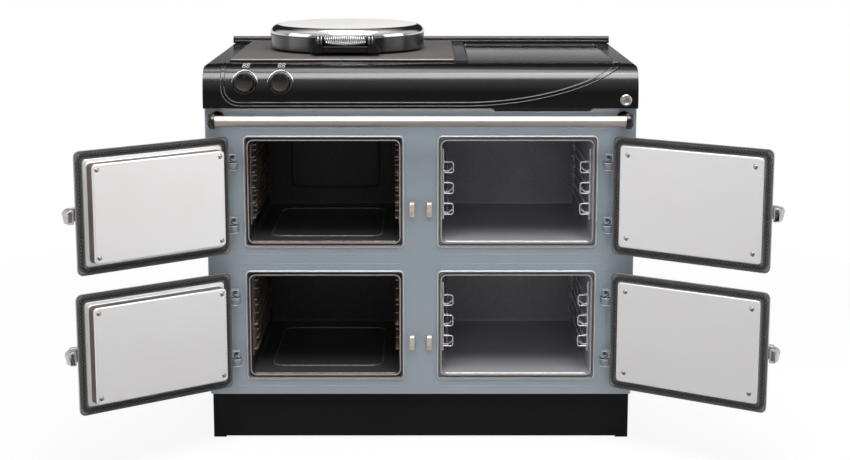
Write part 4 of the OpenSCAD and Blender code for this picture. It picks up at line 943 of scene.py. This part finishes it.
# Painted light: white pearls in the vent, for the bright dots seen through it.
pearl_y, pearl_foot, pearl_top, pearl_pitch = -0.2552, 0.8870, 0.8896, 0.0055
vent_pearls = [
    [(lid_x + pearl_pitch * i, pearl_y, z) for z in (pearl_foot, pearl_top)] for i in range(-8, 9)
]
print_and_glint_white = two_tone("White printed mark", (206, 206, 208), (228, 228, 230), 400, Roughness=0.5)
bars("vent_pearls", vent_pearls, 0.0008, print_and_glint_white, "trim_steel")


def on_fascia(rise):
    """The place on the curve, as depth and height, that is seen this high from a little above."""
    glance, front_y = 0.12, -0.306
    low, high = 0.0, math.pi / 2
    for _ in range(30):
        middle = (low + high) / 2
        y = fascia_root - fascia_deep * math.cos(middle) ** (2 / squareness)
        z = fascia_foot + fascia_high * math.sin(middle) ** (2 / squareness)
        low, high = (middle, high) if z + (y - front_y) * glance < rise else (low, middle)
    return y, z


knob_places = (-0.398, -0.317)
mark_rise, mark_apart_x, mark_apart_z = 0.8878, 0.0044, 0.0028
mark_wide, mark_high, printed_on = 0.0033, 0.0022, 0.0003
loop = circle(1.0, 12)
marks = []
for knob in knob_places:
    for across in (-mark_apart_x, mark_apart_x):
        for up in (-mark_apart_z, mark_apart_z):
            ring = []
            for u, v in loop + loop[:1]:
                y, z = on_fascia(mark_rise + up + mark_high * v)
                ring.append((knob + across + mark_wide * u, y - printed_on, z + printed_on))
            marks.append(ring)
bars("control_marks", marks, 0.0006, print_and_glint_white, "trim_steel")

# ---- Hob ----
# On the left an enamelled plate lies round the turned cast boiling plate, with a painted highlight
# along its front top edge and painted shade on its front face.
# On the right printed black ceramic glass lies in a slim steel trim, with a dark strip between.

plate_finish = Finish("Brown-grey satin enamel", Specular_IOR_Level=0.4)
cloud = plate_finish.noise(7, 3)
pits = plate_finish.noise(480, 2)
_, plate_y, plate_z = plate_finish.axes()
# Painted highlight: a pale, partly metallic line along the plate's front top edge.
edge_painted_highlight = plate_finish.range(plate_y, -0.2205, -0.2222)
edge_painted_highlight = edge_painted_highlight * plate_finish.range(plate_z, 0.8915, 0.8925)
plate_top = plate_finish.mix(cloud, tone(88, 82, 81), tone(106, 101, 100))
# Painted shade: the plate's front face, under that edge, is painted near black.
under = (plate_y < -0.2200) * plate_finish.range(plate_z, 0.8918, 0.8908)
plate_top = plate_finish.mix(under, plate_top, tone(16, 15, 16))
plate_finish.set(
    Base_Color=plate_finish.mix(edge_painted_highlight, plate_top, tone(196, 189, 184)),
    Metallic=edge_painted_highlight * 0.5,
    Roughness=plate_finish.between(pits, 0.34, 0.46),
    Normal=plate_finish.relief(pits, 0.0001),
)
rounded("hotplate_surround", plate_finish, 0.0005)

iron = two_tone("Turned boiling plate", (58, 57, 58), (80, 78, 78), 20, 3, Metallic=0.7)
values = {"Vector": iron.place, "Location": (-lid_x, -0.052, 0)}
centred = iron.node("ShaderNodeMapping", {}, values)
rings = {"wave_type": "RINGS", "rings_direction": "Z"}
turned = iron.node("ShaderNodeTexWave", rings, {"Vector": centred, "Scale": 90})
iron.set(Roughness=iron.between(turned, 0.36, 0.5), Normal=iron.relief(turned, 0.0001))
rounded("hotplate", iron)

side_strip = two_tone("Dark satin strip", (44, 44, 46), (56, 56, 58), 14)
side_strip.set(Coat_Weight=0.3, Roughness=0.34)
rounded("divider_strip", side_strip, 0.0005)

ceramic = Finish("Black ceramic glass", Roughness=0.06, Coat_Weight=0.6, Coat_Roughness=0.03)
glass_x, glass_y, _ = ceramic.axes()
zone_x, zone_y = 0.284, 0.05
speck = (ceramic.noise(1500, 1) > 0.66) * 0.35
from_zone = abs(glass_x - zone_x)
zone_sides = (abs(from_zone - 0.113) < 0.0008) * (abs(glass_y - zone_y) < 0.1)
row = (abs(glass_y + 0.178) < 0.004) * (from_zone < 0.125)
ticks = (glass_x.math("FRACT", glass_x * 82) < 0.42) * (ceramic.noise(140, 1) > 0.47)
printed = glass_x.math("MAXIMUM", zone_sides + row * ticks, speck)
ceramic.set(Base_Color=ceramic.mix(printed, tone(13, 13, 14), tone(150, 146, 144)))
rounded("hob_glass", ceramic, 0.0004)

trim = two_tone("Slim trim", (172, 160, 148), (200, 190, 178), 120, Metallic=1.0, Roughness=0.28)
rounded("hob_trim", trim)

# ---- Controls ----
# Two turned black knobs on steel spindles, each in a bezel of black chrome let into the fascia. A
# chrome arc over the top half of each bezel and grey arcs on its upper edges are painted highlights,
# and each knob is painted lighter towards its lower face as a painted reflection.

black_chrome = two_tone("Black chrome", (60, 60, 62), (74, 73, 75), 40, rough=(0.1, 0.18))
black_chrome.set(Metallic=1.0)
rounded("knob_bezels", black_chrome)
knob_black = Finish("Black knob moulding", Specular_IOR_Level=0.3)
mould = knob_black.noise(600, 2)
# Painted reflection: each knob turns brown-grey towards its lower face.
lower = knob_black.range(knob_black.axes()[2], 0.858, 0.828)
knob_black.set(
    Base_Color=knob_black.mix(lower, tone(7, 7, 7), tone(60, 53, 50)),
    Roughness=knob_black.between(mould, 0.3, 0.42),
    Normal=knob_black.relief(mould, 0.0001),
)
knob_height, knob_lean = 0.8475, math.radians(15)
seat = fascia_at(knob_height) + 0.003
highlight_arc_radius = 0.0292
collar_shade_and_highlight_rings = []
bezel_arcs = []
# Painted highlights: a chrome arc over the top half of each bezel, and grey arcs on the bezel's
# upper edges.
for knob in knob_places:
    outer = []
    for i in range(1, 24):
        a = math.radians(7.5 * i)
        z = knob_height + highlight_arc_radius * math.sin(a)
        outer.append((knob + highlight_arc_radius * math.cos(a), fascia_at(z) - 0.0003, z))
    collar_shade_and_highlight_rings.append(outer)
    for last, radius, out in ((26, 0.0236, 0.0052), (20, 0.0256, 0.0040)):
        inner = []
        for i in range(3, last + 1):
            a = math.radians(180 * i / 29)
            up = radius * math.sin(a)
            y = seat - out * math.cos(knob_lean) + up * math.sin(knob_lean)
            z = knob_height + out * math.sin(knob_lean) + up * math.cos(knob_lean)
            inner.append((knob + radius * math.cos(a), y, z))
        bezel_arcs.append(inner)
bars("knob_highlight_arcs", collar_shade_and_highlight_rings, 0.0011, chrome, "bright_chrome")
bars("bezel_edges", bezel_arcs, 0.0005, grey_painted_highlight, "bright_chrome")
for side in ("left", "right"):
    rounded(side + "_knob", knob_black, 0.0004)
    rounded(side + "_spindle", steel)

# ---- Lid ----
# A spun and polished dome on a black enamelled band, hinged behind, lifted by a coiled spring grip
# held between two moulded ears with a guard beneath.

polish = two_tone("Polished dome", (226, 223, 221), (236, 234, 233), 4)
buff = polish.noise(80, 3, 0.6)
satin_top = polish.range(polish.axes()[2], 0.9558, 0.9568)
polish.set(
    Metallic=1.0 - satin_top * 0.7,
    Roughness=polish.between(buff, 0.07, 0.12) + satin_top * 0.38,
)
rounded("lid_dome", polish, angle=60)
rounded("lid_band", gloss_black, angle=40)
rounded("lid_lining", polish, angle=40)
rounded("lid_hinge_arm", moulding, 0.0006)
rounded("lid_hinge_bracket", moulding, 0.0006)
rounded("handle_brackets", moulding, 0.0005)
rounded("handle_guard", moulding, 0.0005)


def spring_recipe():
    """A barrel-shaped coil: the wire runs round a line along X, and swells out to its middle."""
    turns, steps = 19, 24
    sizes = dict(Length=0.096, Wire=0.0010, End_radius=0.0078, Swell=0.0042, Bow=0.003)
    made = Recipe("Spring grip", Turns=float(turns), **sizes)
    size, node, total = made.size, made.node, made.sum
    values = {"Start": (-0.5, 0, 0), "End": (0.5, 0, 0)}
    line = node("GeometryNodeCurvePrimitiveLine", {}, values)
    line = node("GeometryNodeResampleCurve", {}, {"Curve": line, "Count": turns * steps + 1})
    along = node("GeometryNodeSplineParameter")
    angle = total("MULTIPLY", total("MULTIPLY", along, size("Turns")), math.tau)
    belly = total("SINE", total("MULTIPLY", along, math.pi))
    radius = total("MULTIPLY_ADD", belly, size("Swell"), size("End_radius"))
    x = total("MULTIPLY", total("SUBTRACT", along, 0.5), size("Length"))
    y = total("MULTIPLY", total("SINE", angle), radius)
    y = total("MULTIPLY", total("MULTIPLY_ADD", belly, size("Bow"), y), -1.0)
    z = total("MULTIPLY", total("COSINE", angle), radius)
    place = node("ShaderNodeCombineXYZ", {}, {"X": x, "Y": y, "Z": z})
    coil = node("GeometryNodeSetPosition", {}, {"Geometry": line, "Position": place})
    ring = node("GeometryNodeCurvePrimitiveCircle", {}, {"Resolution": 8, "Radius": size("Wire")})
    values = {"Curve": coil, "Profile Curve": ring, "Fill Caps": True}
    return made, node("GeometryNodeCurveToMesh", {}, values)


spring_ends = (226, 226, 228), (246, 246, 247)
bright_spring = two_tone("Bright spring wire", *spring_ends, 500, rough=(0.16, 0.26), Metallic=0.95)
recipe, shape = spring_recipe()
mesh = recipe.run(shape, bright_spring)
grip_x, grip_y, grip_z = -0.17725, -0.164, 0.933
mesh.transform(Matrix.Translation((grip_x, grip_y, grip_z)))
piece_of("spring_grip", mesh, bright_spring, "lid", "bright_chrome", "handle_spring")

ear_rings = []
for side in (-1, 1):
    for out, radius in ((0.0561, 0.0112), (0.0636, 0.0107)):
        x = grip_x + side * out
        ear_rings.append([(x, grip_y + u, grip_z + v) for u, v in circle(radius, 24)])
bars("ear_rings", ear_rings, 0.0009, chrome, "bright_chrome", True, body="lid")
# Painted highlight: a grey line along the front edge of the guard.
guard_edge = [[(x, -0.1660, 0.9172) for x in (-0.2285, -0.1260)]]
bars("guard_edge", guard_edge, 0.0006, grey_painted_highlight, "black_moulding", body="lid")

# ---- Studio ----
# A white floor that keeps the cooker's shadow, a white surround seen by the camera and in
# reflections, and soft lamps that leave the front of the black enamel dark.

floor_mesh = bpy.data.meshes.new("Floor")
far = 30
corners = [(-far, -far, 0), (far, -far, 0), (far, far, 0), (-far, far, 0)]
floor_mesh.from_pydata(corners, [], [(0, 1, 2, 3)])
floor = bpy.data.objects.new("Floor", floor_mesh)
show(floor)
ground = Finish("White floor", Roughness=0.9)
ground.set(Base_Color=(0.93, 0.93, 0.93, 1))
ray = ground.node("ShaderNodeLightPath").socket.node.outputs
seen = Wire(ground, ray["Is Camera Ray"]) + Wire(ground, ray["Is Transmission Ray"])
mirrored = Wire(ground, ray["Is Glossy Ray"])
ground_x, ground_y, _ = ground.axes()
away = (ground_x * ground_x + ground_y * ground_y) ** 0.5
beside = ground.range(abs(ground_x), 0.6, 1.1) * ground.range(ground_y, -5.0, -3.0)
strength = seen + mirrored * (beside * 0.62 + 0.12)
glow = ground.node("ShaderNodeEmission", {}, {"Color": (1, 1, 1, 1), "Strength": strength})
share = ground.range(away, 1.1, 2.4) * 0.12 + 0.88
share = share.math("MINIMUM", seen + mirrored, 1.0) * share
lit = Wire(ground, ground.shader.outputs[0])
mixed = ground.node("ShaderNodeMixShader", {}, {0: share, 1: lit, 2: glow})
ground.tree.links.new(mixed.socket, ground.tree.nodes["Material Output"].inputs["Surface"])
floor_mesh.materials.append(ground.material)

world = bpy.data.worlds.new("Studio")
bpy.context.scene.world = world
world.use_nodes = True
sky = world.node_tree
sky.nodes.clear()


def sky_node(kind, settings=None, values=(), out=0):
    return add_node(sky, kind, settings, values, out)


def sky_math(operation, *values):
    return sky_node("ShaderNodeMath", {"operation": operation}, values)


def sky_range(value, low, high, at_low=0.0, at_high=1.0, kind="SMOOTHSTEP"):
    """A number that runs from one level to another as the direction goes from low to high."""
    values = {0: value, 1: low, 2: high, 3: at_low, 4: at_high}
    return sky_node("ShaderNodeMapRange", {"interpolation_type": kind}, values)


ray = sky_node("ShaderNodeLightPath").node.outputs
toward = sky_node("ShaderNodeTexCoord", out="Generated")
dx, dy, dz = sky_node("ShaderNodeSeparateXYZ", {}, {0: toward}).node.outputs
behind = sky_range(dy, 0.0, 0.4)
skyline = sky_range(dz, 0.0965, 0.083, 0.02, 0.75, "LINEAR")
ahead = sky_range(dz, -0.1, 0.55, 0.04, 0.55)
above = sky_range(dz, 0.6, 0.9, 0.0, 0.4)
flank = sky_range(sky_math("ABSOLUTE", dx), 0.55, 0.8, 0.0, 0.55)
rear = sky_math("MAXIMUM", skyline, flank)
around = sky_node("ShaderNodeMix", {"data_type": "FLOAT"}, {0: behind, 2: ahead, 3: rear})
mirror = sky_math("ADD", around, above)
camera_sky, mirror_sky, fill_sky = [
    sky_node("ShaderNodeBackground", {}, {"Color": (1, 1, 1, 1), "Strength": strength})
    for strength in (1.0, mirror, 0.22)
]
mirrored = sky_math("MAXIMUM", ray["Is Glossy Ray"], ray["Is Transmission Ray"])
lit = sky_node("ShaderNodeMixShader", {}, {0: mirrored, 1: fill_sky, 2: mirror_sky})
shown = sky_node("ShaderNodeMixShader", {}, {0: ray["Is Camera Ray"], 1: lit, 2: camera_sky})
sky.links.new(shown, sky.nodes.new("ShaderNodeOutputWorld").inputs["Surface"])


def softbox(name, place, aim, wide, high, power, mirrored=True):
    """A soft rectangular lamp that faces a point on the cooker."""
    lamp = bpy.data.objects.new(name, bpy.data.lights.new(name, "AREA"))
    lamp.data.shape = "RECTANGLE"
    lamp.data.size, lamp.data.size_y = wide, high
    lamp.data.energy = power
    lamp.location = place
    lamp.rotation_euler = (Vector(aim) - Vector(place)).to_track_quat("-Z", "Y").to_euler()
    lamp.visible_glossy = mirrored
    show(lamp)


softbox("Left box", (-3.3, -0.9, 1.3), (0, -0.3, 0.6), 2.2, 2.4, 22)
softbox("Right box", (3.3, -0.9, 1.3), (0, -0.3, 0.6), 2.2, 2.4, 24)
softbox("Main box", (0.2, -1.557, 3.377), (0.1, -0.33, 0.86), 2.6, 1.7, 104)
softbox("Top box", (0.1, -0.09, 3.65), (0, -0.2, 0.9), 2.6, 1.3, 32)
softbox("Front fill", (0, -4.3, 1.5), (0, 0, 0.5), 3.0, 1.8, 22, mirrored=False)

bpy.context.scene.view_settings.view_transform = "Standard"
